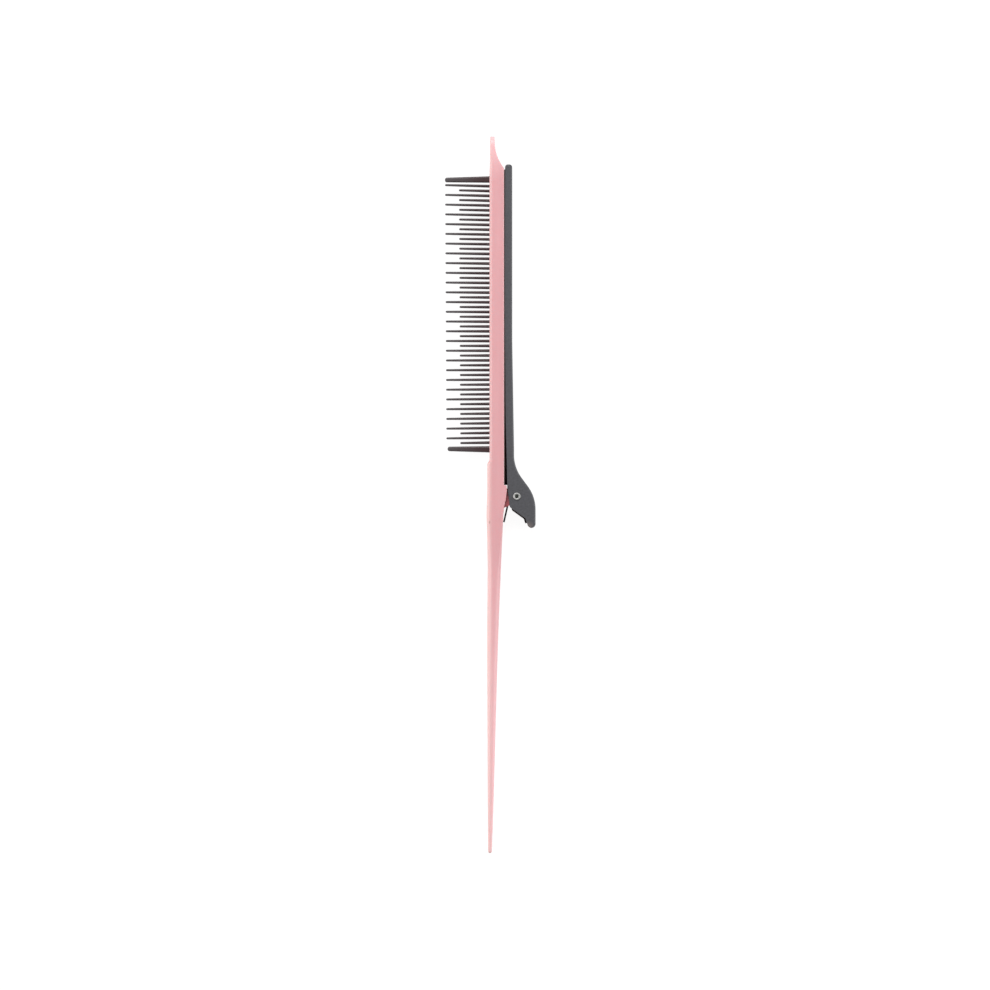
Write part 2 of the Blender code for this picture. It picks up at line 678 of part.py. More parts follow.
def wire(name, path, radius):
    """A round wire along a path, with flat ends."""
    curve = bpy.data.curves.new(name, "CURVE")
    curve.dimensions = "3D"
    curve.bevel_depth = radius
    curve.bevel_resolution = 2
    curve.use_fill_caps = True
    spline = curve.splines.new("POLY")
    spline.points.add(len(path) - 1)
    for point, place_on_path in zip(spline.points, path):
        point.co = (*place_on_path, 1)
    return bpy.data.objects.new(name, curve)


torsion_spring = place(wire("torsion_spring", spring_path(), WIRE / 2), frame, black_wire)
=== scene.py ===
"""A rat tail comb with a sprung sectioning clip, lying on its side on a pale studio table."""

import math

import bmesh
import bpy
from mathutils import Matrix, Vector


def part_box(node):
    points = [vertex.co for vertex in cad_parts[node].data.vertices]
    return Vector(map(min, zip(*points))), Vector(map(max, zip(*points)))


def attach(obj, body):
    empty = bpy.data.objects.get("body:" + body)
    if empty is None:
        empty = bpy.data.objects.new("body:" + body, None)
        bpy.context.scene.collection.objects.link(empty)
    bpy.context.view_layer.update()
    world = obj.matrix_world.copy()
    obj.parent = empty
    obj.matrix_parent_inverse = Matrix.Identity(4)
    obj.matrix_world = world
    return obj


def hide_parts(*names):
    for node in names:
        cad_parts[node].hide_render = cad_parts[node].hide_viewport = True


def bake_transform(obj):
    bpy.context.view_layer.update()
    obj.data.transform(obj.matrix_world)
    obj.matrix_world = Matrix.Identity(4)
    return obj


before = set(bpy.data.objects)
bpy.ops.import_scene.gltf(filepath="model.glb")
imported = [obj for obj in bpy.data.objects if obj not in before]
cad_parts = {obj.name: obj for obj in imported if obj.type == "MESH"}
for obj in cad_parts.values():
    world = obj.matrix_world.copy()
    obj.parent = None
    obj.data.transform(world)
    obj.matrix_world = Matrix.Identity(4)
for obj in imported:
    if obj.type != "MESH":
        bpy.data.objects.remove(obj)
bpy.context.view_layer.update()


# ---- Spine ----
# One injection moulding in pink ABS: a thin parting tongue at the head, a bar slotted for the teeth, a grip
# with a pad and two lugs for the clip, and a tail drawn down to a blunt point. The mould's halves met on its
# middle plane, and its front corners are rounded more than its back ones, for the hand.

MM = 0.001
SPINE_THICK = 4.84 * MM
PIN_BACK = 9.13 * MM
rivet_low, rivet_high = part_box("hinge_rivet")
pin = (rivet_low + rivet_high) / 2
spine_low, spine_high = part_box("spine")
spring_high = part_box("torsion_spring")[1]
clip_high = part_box("clip_lever")[1]
insert_low, insert_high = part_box("comb_insert")
front_face = pin.x - PIN_BACK
half_depth = spine_high.z - pin.z - 0.001 * MM
LUG_RADIUS = 1.9 * MM
BORE_RADIUS = 0.95 * MM
lug_in = spring_high.z - pin.z + 0.3 * MM
lug_out = lug_in + 1.0 * MM
cheek_in = lug_out + 0.3 * MM
cheek_out = clip_high.z - pin.z
origin = Vector((front_face, spine_low.y, pin.z))

TAIL_LENGTH = 113.0 * MM
GRIP_TOP = 131.9 * MM
HEAD_TOP = 229.26 * MM
LENGTH = spine_high.y - spine_low.y
TONGUE_THICK = 1.78 * MM
TONGUE_CURVE = 14.4 * MM
TONGUE_ROUND = 3.0 * MM
TAIL_ROUND = 0.75 * MM
SQUARE_OFF = 0.45 * MM  # the rounding of the tongue's end edge
TAIL_SHAPE = (  # share of the tail's length, front edge, back edge and half depth in millimetres
    (0.0, 0.50, 0.80, 0.15 * 4.5),
    (0.18, 0.62, 1.45, 0.29 * 4.5),
    (0.39, 0.72, 2.10, 0.44 * 4.5),
    (0.64, 0.80, 2.93, 0.64 * 4.5),
    (0.85, 0.66, 3.87, 0.84 * 4.5),
    (0.94, 0.80, 4.30, 0.95 * 4.5),
    (1.0, 1.00, 4.62, 4.5),
)
PAD_SHAPE = (  # height in millimetres, and how far the pad stands out behind the spine
    (114.6, 0.0),
    (115.6, 0.04),
    (116.3, 0.14),
    (117.3, 0.36),
    (118.5, 0.60),
    (119.7, 0.74),
    (120.8, 0.88),
    (121.7, 0.95),
    (122.7, 0.95),
    (123.0, 0.88),
    (123.2, 0.68),
    (123.3, 0.0),
)


def through(place, knots):
    """The values at a place along knots of (place, value, ...), on a smooth curve through them."""
    last = len(knots) - 1
    i = next((k for k in range(last) if place <= knots[k + 1][0]), last - 1)
    slopes = []
    for k in (i, i + 1):
        a, b = knots[max(k - 1, 0)], knots[min(k + 1, last)]
        slopes.append([(q - p) / (b[0] - a[0]) for p, q in zip(a[1:], b[1:])])
    (start, *low), (end, *high) = knots[i], knots[i + 1]
    span = end - start
    t = (place - start) / span
    curve = (2 * t**3 - 3 * t**2 + 1, t**3 - 2 * t**2 + t, 3 * t**2 - 2 * t**3, t**3 - t**2)
    return [
        curve[0] * p + curve[1] * span * m + curve[2] * q + curve[3] * span * n
        for p, m, q, n in zip(low, slopes[0], high, slopes[1])
    ]


def ease(share):
    """A share from 0 to 1 that starts and ends gently."""
    share = min(max(share, 0.0), 1.0)
    return share * share * (3 - 2 * share)


def mix(a, b, share):
    return a + (b - a) * share


def spine_section(y):
    """At a height: front and back edge, half depth, the front corner's size each way, the back corner's."""
    front, back, half = 0.0, SPINE_THICK, half_depth
    front_corner, front_deep, back_corner = 1.15 * MM, 1.15 * MM, 0.35 * MM
    if y < TAIL_LENGTH:
        out, behind, deep = (value * MM for value in through(y / TAIL_LENGTH, TAIL_SHAPE))
        front, back, half = -out, behind, min(deep, half_depth)
        full = 0.495 * min(back - front, 2 * half)
        share = ease((y - 0.78 * TAIL_LENGTH) / (0.22 * TAIL_LENGTH))
        front_corner = mix(full, 1.6 * MM, share)
        front_deep = mix(full, 1.15 * MM, share)
        back_corner = mix(full, back_corner, share)
    elif y < GRIP_TOP:
        swell = 1 - ease((y - TAIL_LENGTH) / (9.4 * MM))
        step = ease((y - GRIP_TOP + 1.7 * MM) / (1.7 * MM))
        front = -0.76 * MM * (1 - step) - 0.24 * MM * swell
        back = mix(4.62 * MM, SPINE_THICK, ease((y - TAIL_LENGTH) / (2.4 * MM)))
        front_corner = mix(1.6 * MM, 1.15 * MM, step)
    else:
        front = 0.14 * MM * ease((y - HEAD_TOP + 2.5 * MM) / (5 * MM))
        front_corner = mix(front_corner, 0.5 * MM, ease((y - HEAD_TOP) / (5 * MM)))
        front_deep = front_corner
    if PAD_SHAPE[0][0] * MM < y < PAD_SHAPE[-1][0] * MM:
        back += through(y / MM, PAD_SHAPE)[0] * MM
    run = math.sqrt(TONGUE_CURVE**2 - (TONGUE_CURVE - SPINE_THICK + TONGUE_THICK) ** 2)
    above = HEAD_TOP + run - y
    if above < run:
        back = TONGUE_THICK + TONGUE_CURVE - math.sqrt(TONGUE_CURVE**2 - max(above, 0) ** 2)
    tip = min(y / TAIL_ROUND, 1)
    end = max(1 - (LENGTH - y) / SQUARE_OFF, 0)
    shrink = max(math.sqrt(1 - (1 - tip) ** 2), 0.12) * (0.5 + 0.5 * math.sqrt(1 - end**2))
    middle = (front + back) / 2
    front, back = mix(middle, front, shrink), mix(middle, back, shrink)
    half *= max(math.sqrt(1 - (1 - tip) ** 2), 0.12)
    past = y - LENGTH + TONGUE_ROUND
    if past > 0:
        half += math.sqrt(TONGUE_ROUND**2 - past**2) - TONGUE_ROUND
    most = 0.495 * min(back - front, 2 * half)
    return front, back, half, min(front_corner, most), min(front_deep, most), min(back_corner, most)


def section_ring(y):
    """One section of the spine as points, with rounded corners and a point at each end of its flats."""
    front, back, half, wide, deep, small = spine_section(y)
    points = []
    for s in range(9):
        angle = math.pi / 2 * s / 8
        points.append((back - small + small * math.cos(angle), half - small + small * math.sin(angle)))
    flat_from, flat_to = back - small, front + wide
    points += [(mix(flat_from, flat_to, share), half) for share in (0.06, 0.5, 0.94)]
    for s in range(13):
        angle = math.pi / 2 * (1 + s / 12)
        points.append((front + wide + wide * math.cos(angle), half - deep + deep * math.sin(angle)))
    points.append((front, 0.9 * (half - deep)))
    return points + [(x, -z) for x, z in points[::-1]]


def loft(name, rings):
    """A closed skin through rings of as many points each."""
    shape = bmesh.new()
    rows = [[shape.verts.new(point) for point in ring] for ring in rings]
    for low, high in zip(rows, rows[1:]):
        for i in range(len(low)):
            shape.faces.new((low[i - 1], low[i], high[i], high[i - 1]))
    shape.faces.new(rows[0])
    shape.faces.new(rows[-1])
    bmesh.ops.recalc_face_normals(shape, faces=shape.faces)
    mesh = bpy.data.meshes.new(name)
    shape.to_mesh(mesh)
    shape.free()
    made = bpy.data.objects.new(name, mesh)
    bpy.context.scene.collection.objects.link(made)
    return made


def settled(piece):
    """The piece as a plain mesh at the origin, with its modifiers or its curve worked out."""
    bpy.context.view_layer.update()
    evaluated = piece.evaluated_get(bpy.context.evaluated_depsgraph_get())
    mesh = bpy.data.meshes.new_from_object(evaluated)
    mesh.transform(piece.matrix_world)
    used = [material for material in mesh.materials if material]
    mesh.materials.clear()
    for material in used:
        mesh.materials.append(material)
    for face in mesh.polygons:
        face.material_index = 0
    name = piece.name
    bpy.data.objects.remove(piece)
    mesh.name = name
    made = bpy.data.objects.new(name, mesh)
    bpy.context.scene.collection.objects.link(made)
    return made


def carved(piece, tool, operation="DIFFERENCE"):
    """The piece cut by a tool, or joined to it, and the tool gone."""
    boolean = piece.modifiers.new(tool.name, "BOOLEAN")
    boolean.object = tool
    boolean.operation = operation
    boolean.solver = "EXACT"
    made = settled(piece)
    bpy.data.objects.remove(tool)
    return made


def prism(name, outline, low, high, edge=0.0, weights=None, segments=4):
    """An outline raised from low to high along Z, with its rims rounded by edge times each side's weight."""
    shape = bmesh.new()
    floor = [shape.verts.new((point[0], point[1], low)) for point in outline]
    roof = [shape.verts.new((point[0], point[1], high)) for point in outline]
    bevel_layer = shape.edges.layers.float.new("bevel_weight_edge")
    shape.faces.new(floor[::-1])
    shape.faces.new(roof)
    for i in range(len(outline)):
        shape.faces.new((floor[i - 1], floor[i], roof[i], roof[i - 1]))
        for rim in (floor, roof):
            side = shape.edges.get((rim[i - 1], rim[i]))
            side[bevel_layer] = weights[i] if weights else 1.0
    bmesh.ops.recalc_face_normals(shape, faces=shape.faces)
    mesh = bpy.data.meshes.new(name)
    shape.to_mesh(mesh)
    shape.free()
    made = bpy.data.objects.new(name, mesh)
    bpy.context.scene.collection.objects.link(made)
    if edge:
        bevel = made.modifiers.new("rounded rims", "BEVEL")
        bevel.limit_method = "WEIGHT"
        bevel.width = edge
        bevel.segments = segments
        bevel.use_clamp_overlap = False
        made = settled(made)
    return made


def polished(piece, angle=32):
    """Smooth shading that keeps corners sharp and flat faces flat, once slivers left by cutting are gone."""
    shape = bmesh.new()
    shape.from_mesh(piece.data)
    bmesh.ops.dissolve_degenerate(shape, edges=shape.edges, dist=0.002 * MM)
    bmesh.ops.dissolve_limit(shape, angle_limit=math.radians(0.05), verts=shape.verts, edges=shape.edges)
    shape.to_mesh(piece.data)
    shape.free()
    piece.data.shade_smooth()
    piece.data.set_sharp_from_angle(angle=math.radians(angle))
    weighted = piece.modifiers.new("flat faces stay flat", "WEIGHTED_NORMAL")
    weighted.keep_sharp = True
    weighted.weight = 80
    return settled(piece)


def polar(centre, radius, angle):
    return centre + radius * Vector((math.cos(angle), math.sin(angle)))


def tangent_angle(outside, centre, radius, side):
    """Direction from a circle's centre to where a line from an outside point touches the circle."""
    away = outside - centre
    return math.atan2(away.y, away.x) + side * math.acos(radius / away.length)


def spread(low, high, count):
    """Evenly spaced values from low to high."""
    return [mix(low, high, k / (count - 1)) for k in range(count)]


heights = [TAIL_ROUND * (1 - math.cos(math.pi / 2 * k / 8)) for k in range(9)]
heights += spread(1.5 * MM, 0.93 * TAIL_LENGTH, 56) + spread(0.94 * TAIL_LENGTH, TAIL_LENGTH, 10)
heights += spread(TAIL_LENGTH, 122.4 * MM, 30) + spread(122.5 * MM, 123.3 * MM, 14) + [123.33 * MM]
heights += spread(124 * MM, GRIP_TOP - 1.7 * MM, 10) + spread(GRIP_TOP - 1.6 * MM, GRIP_TOP, 13)
heights += spread(GRIP_TOP + 3 * MM, HEAD_TOP - 2.6 * MM, 20) + spread(HEAD_TOP - 2.3 * MM, HEAD_TOP, 5)
heights += spread(HEAD_TOP + 0.1 * MM, LENGTH - TONGUE_ROUND, 24)
heights += spread(LENGTH - 2.8 * MM, LENGTH - 0.5 * MM, 12)
heights += [LENGTH - SQUARE_OFF * (1 - math.cos(math.pi / 2 * k / 8)) for k in range(8, -1, -1)]
heights = sorted(set(heights))
heights = [y for i, y in enumerate(heights) if i == 0 or y - heights[i - 1] > 1e-6]
rings = [[origin + Vector((x, y, z)) for x, z in section_ring(y)] for y in heights]
spine = loft("spine_moulding", rings)

# The lugs are part of the same moulding, so each root sinks into the pad
pin_flat = Vector((pin.x, pin.y))
lug_roots = [
    pin_flat + Vector((SPINE_THICK - 0.6 * MM - PIN_BACK, -4.1 * MM)),
    pin_flat + Vector((SPINE_THICK - 0.6 * MM - PIN_BACK, 2.95 * MM)),
]
lug_start = tangent_angle(lug_roots[0], pin_flat, LUG_RADIUS, 1)
lug_turn = (tangent_angle(lug_roots[1], pin_flat, LUG_RADIUS, -1) - lug_start) % math.tau
lug_outline = [lug_roots[0]]
lug_outline += [polar(pin_flat, LUG_RADIUS, lug_start + lug_turn * k / 30) for k in range(31)]
lug_outline.append(lug_roots[1])
for side, low, high in (("near", lug_in, lug_out), ("far", -lug_out, -lug_in)):
    lug = prism(f"{side}_lug", lug_outline, pin.z + low, pin.z + high, 0.15 * MM, segments=3)
    spine = carved(spine, lug, "UNION")

rail_low = Vector((front_face + 0.1 * MM, insert_low.y, pin.z - 1.5 * MM))
rail_high = Vector((insert_high.x, insert_high.y, pin.z + 1.5 * MM))
slot_gap = 0.06 * MM
slot_outline = [
    Vector((rail_low.x - 3 * MM, rail_low.y - slot_gap)),
    Vector((rail_high.x + slot_gap, rail_low.y - slot_gap)),
    Vector((rail_high.x + slot_gap, rail_high.y + slot_gap)),
    Vector((rail_low.x - 3 * MM, rail_high.y + slot_gap)),
]
spine = carved(spine, prism("slot", slot_outline, rail_low.z - slot_gap, rail_high.z + slot_gap))
bore = [polar(pin_flat, BORE_RADIUS, math.tau * k / 48) for k in range(48)]
spine = carved(spine, prism("bore", bore, pin.z - lug_out - MM, pin.z + lug_out + MM))
spine = polished(spine)


def linear(code):
    """A colour's sRGB hex code as linear values with an alpha of 1."""
    channels = [int(code[i : i + 2], 16) / 255 for i in (1, 3, 5)]
    return (*[c / 12.92 if c <= 0.04045 else ((c + 0.055) / 1.055) ** 2.4 for c in channels], 1.0)


def add_node(tree, kind, inputs=None, **settings):
    """Adds a node with its settings, and fills each input, by name or number, with a value or a link."""
    made = tree.nodes.new(kind)
    for name, value in settings.items():
        setattr(made, name, value)
    for name, value in (inputs or {}).items():
        if isinstance(value, bpy.types.NodeSocket):
            tree.links.new(value, made.inputs[name])
        else:
            made.inputs[name].default_value = value
    return made


def worked(tree, operation, *numbers):
    """The result of one arithmetic operation."""
    return add_node(tree, "ShaderNodeMath", dict(enumerate(numbers)), operation=operation).outputs[0]


def ramp(tree, value, start, end, low=0.0, high=1.0):
    """A value's way from start to end, as a number from low to high that is held beyond them."""
    ends = {"Value": value, "From Min": start, "From Max": end, "To Min": low, "To Max": high}
    return add_node(tree, "ShaderNodeMapRange", ends).outputs[0]


def blended(tree, share, first, second):
    """A colour between two, by a share."""
    return add_node(tree, "ShaderNodeMix", {0: share, 6: first, 7: second}, data_type="RGBA").outputs[2]


# ABS, injection moulded with a satin finish. The melt flowed along the comb and left faint long streaks in
# its colour, the mould's stoned steel breaks up the gloss, and thin edges let some light through.
pink_abs = bpy.data.materials.new("pink_abs_satin_moulded")
pink_abs.use_nodes = True
tree = pink_abs.node_tree
shader = tree.nodes["Principled BSDF"]
place = add_node(tree, "ShaderNodeTexCoord").outputs["Object"]
along = add_node(tree, "ShaderNodeMapping", {"Vector": place, "Scale": (1.0, 0.1, 1.0)}).outputs["Vector"]
streaks = add_node(tree, "ShaderNodeTexNoise", {"Vector": along, "Scale": 450.0, "Detail": 3.0})
colour = blended(tree, streaks.outputs[0], linear("#d2999d"), linear("#dba4a7"))
# Painted light: the tail and the tongue are coloured lighter towards their thin ends, for light that falls
# on them and shows through them
split = add_node(tree, "ShaderNodeSeparateXYZ", {0: place}).outputs
tail_painted_glow = add_node(
    tree,
    "ShaderNodeMapRange",
    {"Value": split["Y"], "From Min": origin.y + 128 * MM, "From Max": origin.y + 10 * MM},
    interpolation_type="SMOOTHSTEP",
).outputs[0]
tongue_painted_glow = add_node(
    tree,
    "ShaderNodeMapRange",
    {"Value": split["Y"], "From Min": origin.y + 224 * MM, "From Max": origin.y + 239 * MM},
    interpolation_type="SMOOTHSTEP",
).outputs[0]
painted_glow = worked(tree, "ADD", tail_painted_glow, tongue_painted_glow)
with_painted_glow = blended(tree, painted_glow, colour, linear("#ebb9bc"))
# Painted highlight: the front corners are coloured paler where their rounding faces the light from the left,
# most of all on the grip and the tail, which stand furthest forward
wire_wear_and_front_highlight = ramp(tree, split["X"], front_face + 1.1 * MM, front_face - 0.6 * MM, 0.0, 0.9)
with_front_highlight = blended(tree, wire_wear_and_front_highlight, with_painted_glow, linear("#e4bfbb"))
# Painted shade: the lugs between the cheeks are coloured a deeper red for the shade they sit in
behind = ramp(tree, split["X"], origin.x + 4.3 * MM, origin.x + 4.5 * MM)
off_plane = worked(tree, "SUBTRACT", split["Z"], pin.z)
depth = worked(tree, "ABSOLUTE", off_plane)
inner = ramp(tree, depth, lug_out + 0.1 * MM, lug_out + 0.3 * MM, 1.0, 0.0)
at_hinge = ramp(tree, split["Y"], pin.y + 4.4 * MM, pin.y + 3.9 * MM)
deep = worked(tree, "MULTIPLY", behind, inner)
lug_shade_share = worked(tree, "MULTIPLY", deep, at_hinge)
with_lug_shade = blended(tree, lug_shade_share, with_front_highlight, linear("#c46a70"))
# Painted shade: a small brownish spot in the grip's front corner, standing in for the shade in a small dent
# there
from_dent_spot = add_node(
    tree,
    "ShaderNodeVectorMath",
    {0: place, 1: (front_face + 0.05 * MM, origin.y + 110.9 * MM, pin.z + half_depth - 0.4 * MM)},
    operation="SUBTRACT",
).outputs[0]
drawn = add_node(
    tree, "ShaderNodeVectorMath", {0: from_dent_spot, 1: (1.0, 0.45, 0.3)}, operation="MULTIPLY"
).outputs[0]
away = add_node(tree, "ShaderNodeVectorMath", {0: drawn}, operation="LENGTH").outputs["Value"]
dent_shade = ramp(tree, away, 0.12 * MM, 0.34 * MM, 0.6, 0.0)
with_dent_shade = blended(tree, dent_shade, with_lug_shade, linear("#9c6f62"))
# The line where the mould's halves met, 0.1 mm wide round the middle plane
parting = ramp(tree, depth, 0.03 * MM, 0.1 * MM, 1.0, 0.0)
lined = blended(tree, parting, with_dent_shade, linear("#c98d93"))
tree.links.new(lined, shader.inputs["Base Color"])
stoned = add_node(tree, "ShaderNodeTexNoise", {"Vector": place, "Scale": 1 / (0.35 * MM), "Detail": 4.0})
satin = ramp(tree, stoned.outputs[0], 0.0, 1.0, 0.34, 0.46)
tree.links.new(satin, shader.inputs["Roughness"])
grain = worked(tree, "ADD", stoned.outputs[0], parting)
bump = add_node(tree, "ShaderNodeBump", {"Height": grain, "Strength": 0.12, "Distance": 0.02 * MM})
tree.links.new(bump.outputs[0], shader.inputs["Normal"])
shader.inputs["IOR"].default_value = 1.53
shader.inputs["Subsurface Weight"].default_value = 0.15
shader.inputs["Subsurface Radius"].default_value = (1.0, 0.35, 0.3)
shader.inputs["Subsurface Scale"].default_value = 0.8 * MM
spine.data.materials.append(pink_abs)
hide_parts("spine")
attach(spine, "comb")


# ---- Comb insert ----
# A separate moulding in dark acetal, which slides and bends without breaking: a rail that is pressed into
# the spine's slot, with short and long teeth by turns along it and a thick guard tooth at each end.

TOOTH_PITCH = 1.62 * MM
TOOTH_PAIRS = 27
TOOTH_ROOT = 1.04 * MM
TOOTH_SUNK = 1.2 * MM  # each tooth starts this far behind the spine's front, inside the rail
GUARD_GAP = 0.83 * MM
GUARD_LOW_LENGTH = 14.05 * MM
guard_top_length = front_face - insert_low.x
first_tooth = rail_low.y + 2.5 * MM + GUARD_GAP + TOOTH_ROOT / 2
last_tooth = first_tooth + (2 * TOOTH_PAIRS - 1) * TOOTH_PITCH
LEAN_LOW, LEAN_TOP = math.radians(-0.8), math.radians(1.4)


def group_input(tree, name, kind, value):
    """A named input of a node tree, and the identifier that a modifier knows it by."""
    socket = tree.interface.new_socket(name, in_out="INPUT", socket_type=kind)
    socket.default_value = value
    return socket.identifier


def grown(name, tree, sizes, place):
    """A piece at a place, grown by a node tree from its sizes."""
    made = bpy.data.objects.new(name, bpy.data.meshes.new(name))
    bpy.context.scene.collection.objects.link(made)
    made.location = place
    grow = made.modifiers.new(name, "NODES")
    grow.node_group = tree
    for identifier, size in sizes.items():
        grow[identifier] = size
    return settled(made)


def tooth_shape(tree, length, root, tip, deep):
    """A tapering tooth of oval section along -X from its root at the origin, with a round tip."""
    line = add_node(tree, "GeometryNodeCurvePrimitiveLine", {"End": (-1.0, 0.0, 0.0)})
    dense = add_node(tree, "GeometryNodeResampleCurve", {"Curve": line.outputs[0], "Count": 22})
    share = add_node(tree, "GeometryNodeSplineParameter").outputs["Factor"]
    # Points crowd towards the tip, so that its rounding is even
    left = worked(tree, "SUBTRACT", 1.0, share)
    eased = worked(tree, "POWER", left, 2.6)
    reach = worked(tree, "SUBTRACT", 1.0, eased)
    out = worked(tree, "MULTIPLY", reach, length)
    minus = worked(tree, "MULTIPLY", out, -1.0)
    where = add_node(tree, "ShaderNodeCombineXYZ", {0: minus}).outputs[0]
    set_place = add_node(tree, "GeometryNodeSetPosition", {"Geometry": dense.outputs[0], "Position": where})
    # From here on, the place along the tooth is read off the moved points
    there = add_node(tree, "GeometryNodeInputPosition").outputs[0]
    there_x = add_node(tree, "ShaderNodeSeparateXYZ", {0: there}).outputs["X"]
    out = worked(tree, "MULTIPLY", there_x, -1.0)
    reach = worked(tree, "DIVIDE", out, length)
    half_root = worked(tree, "MULTIPLY", root, 0.5)
    half_tip = worked(tree, "MULTIPLY", tip, 0.5)
    taper = ramp(tree, reach, 0.0, 1.0, half_root, half_tip)
    # The last half width of the tooth is a half circle: its radius falls as the root of 1 - t * t
    to_end = worked(tree, "SUBTRACT", length, out)
    in_tip = worked(tree, "DIVIDE", to_end, half_tip)
    capped = worked(tree, "MINIMUM", in_tip, 1.0)
    back = worked(tree, "SUBTRACT", 1.0, capped)
    square = worked(tree, "MULTIPLY", back, back)
    rest = worked(tree, "SUBTRACT", 1.0, square)
    kept = worked(tree, "MAXIMUM", rest, 0.01)
    fall = worked(tree, "POWER", kept, 0.5)
    radius = worked(tree, "MULTIPLY", taper, fall)
    oval = add_node(tree, "GeometryNodeCurvePrimitiveCircle", {"Resolution": 20, "Radius": 1.0})
    flat = worked(tree, "DIVIDE", deep, root)
    stretch = add_node(tree, "ShaderNodeCombineXYZ", {0: 1.0, 1: flat, 2: 1.0}).outputs[0]
    section = add_node(tree, "GeometryNodeTransform", {"Geometry": oval.outputs[0], "Scale": stretch})
    spine_curve, ring = set_place.outputs[0], section.outputs[0]
    return add_node(
        tree,
        "GeometryNodeCurveToMesh",
        {"Curve": spine_curve, "Profile Curve": ring, "Scale": radius, "Fill Caps": True},
    ).outputs[0]


teeth_tree = bpy.data.node_groups.new("comb_teeth", "GeometryNodeTree")
teeth_tree.interface.new_socket("Geometry", in_out="OUTPUT", socket_type="NodeSocketGeometry")
tooth_sizes = {
    "Pairs": ("NodeSocketInt", TOOTH_PAIRS),
    "Pitch": ("NodeSocketFloat", TOOTH_PITCH),
    "Long tooth": ("NodeSocketFloat", 14.7 * MM + TOOTH_SUNK),
    "Short tooth": ("NodeSocketFloat", 10.05 * MM + TOOTH_SUNK),
    "Length drift": ("NodeSocketFloat", 0.45 * MM),
    "Root": ("NodeSocketFloat", TOOTH_ROOT),
    "Tip": ("NodeSocketFloat", 0.72 * MM),
    "Depth": ("NodeSocketFloat", 2.4 * MM),
    "Lean at tail end": ("NodeSocketFloat", LEAN_LOW),
    "Lean at head end": ("NodeSocketFloat", LEAN_TOP),
}
tooth_values = {group_input(teeth_tree, name, *size): size[1] for name, size in tooth_sizes.items()}
given = add_node(teeth_tree, "NodeGroupInput").outputs
twice = worked(teeth_tree, "MULTIPLY", given["Pairs"], 2.0)
step = add_node(teeth_tree, "ShaderNodeCombineXYZ", {1: given["Pitch"]}).outputs[0]
row = add_node(
    teeth_tree,
    "GeometryNodeMeshLine",
    {"Count": twice, "Start Location": (0.0, 0.0, 0.0), "Offset": step},
    mode="OFFSET",
)
index = add_node(teeth_tree, "GeometryNodeInputIndex").outputs[0]
odd = worked(teeth_tree, "MODULO", index, 2.0)
even = worked(teeth_tree, "SUBTRACT", 1.0, odd)
last_index = worked(teeth_tree, "SUBTRACT", twice, 1.0)
place_share = worked(teeth_tree, "DIVIDE", index, last_index)
lean = ramp(teeth_tree, place_share, 0.0, 1.0, given["Lean at tail end"], given["Lean at head end"])
turned = worked(teeth_tree, "MULTIPLY", lean, -1.0)
angles = add_node(teeth_tree, "ShaderNodeCombineXYZ", {2: turned}).outputs[0]
kinds = []
for size_name, chosen in (("Long tooth", odd), ("Short tooth", even)):
    tooth = tooth_shape(teeth_tree, given[size_name], given["Root"], given["Tip"], given["Depth"])
    centred = worked(teeth_tree, "SUBTRACT", place_share, 0.5)
    drift = worked(teeth_tree, "MULTIPLY", centred, given["Length drift"])
    longer = worked(teeth_tree, "DIVIDE", drift, given[size_name])
    scale_x = worked(teeth_tree, "ADD", longer, 1.0)
    scale = add_node(teeth_tree, "ShaderNodeCombineXYZ", {0: scale_x, 1: 1.0, 2: 1.0}).outputs[0]
    placed = {"Points": row.outputs[0], "Selection": chosen, "Instance": tooth}
    placed |= {"Rotation": angles, "Scale": scale}
    kinds.append(add_node(teeth_tree, "GeometryNodeInstanceOnPoints", placed).outputs[0])
both = add_node(teeth_tree, "GeometryNodeJoinGeometry")
for kind in kinds:
    teeth_tree.links.new(kind, both.inputs[0])
real = add_node(teeth_tree, "GeometryNodeRealizeInstances", {0: both.outputs[0]})
smooth = add_node(teeth_tree, "GeometryNodeSetShadeSmooth", {0: real.outputs[0]})

# Acetal, polished in the mould and by use. It is nearly black at the roots, and the tips have gone greyer
# where hair and caps have rubbed them.
dark_acetal = bpy.data.materials.new("dark_acetal_polished")
dark_acetal.use_nodes = True
tree = dark_acetal.node_tree
shader = tree.nodes["Principled BSDF"]
place = add_node(tree, "ShaderNodeTexCoord").outputs["Object"]
across = add_node(tree, "ShaderNodeSeparateXYZ", {0: place}).outputs["X"]
towards_tip = ramp(tree, across, front_face - 2 * MM, front_face - 15 * MM)
mottle = add_node(tree, "ShaderNodeTexNoise", {"Vector": place, "Scale": 1 / (1.5 * MM), "Detail": 3.0})
uneven = ramp(tree, mottle.outputs[0], 0.0, 1.0, -0.15, 0.15)
wear = add_node(
    tree, "ShaderNodeMath", {0: towards_tip, 1: uneven}, operation="ADD", use_clamp=True
).outputs[0]
worn = blended(tree, wear, linear("#3e2b2d"), linear("#4a4648"))
tree.links.new(worn, shader.inputs["Base Color"])
gloss = ramp(tree, wear, 0.0, 1.0, 0.3, 0.42)
tree.links.new(gloss, shader.inputs["Roughness"])
scuffs = add_node(tree, "ShaderNodeMapping", {"Vector": place, "Scale": (0.1, 1.0, 1.0)}).outputs["Vector"]
scuffed = add_node(tree, "ShaderNodeTexNoise", {"Vector": scuffs, "Scale": 1 / (0.12 * MM), "Detail": 2.0})
bump = add_node(
    tree, "ShaderNodeBump", {"Height": scuffed.outputs[0], "Strength": 0.08, "Distance": 0.01 * MM}
)
tree.links.new(bump.outputs[0], shader.inputs["Normal"])
shader.inputs["IOR"].default_value = 1.48

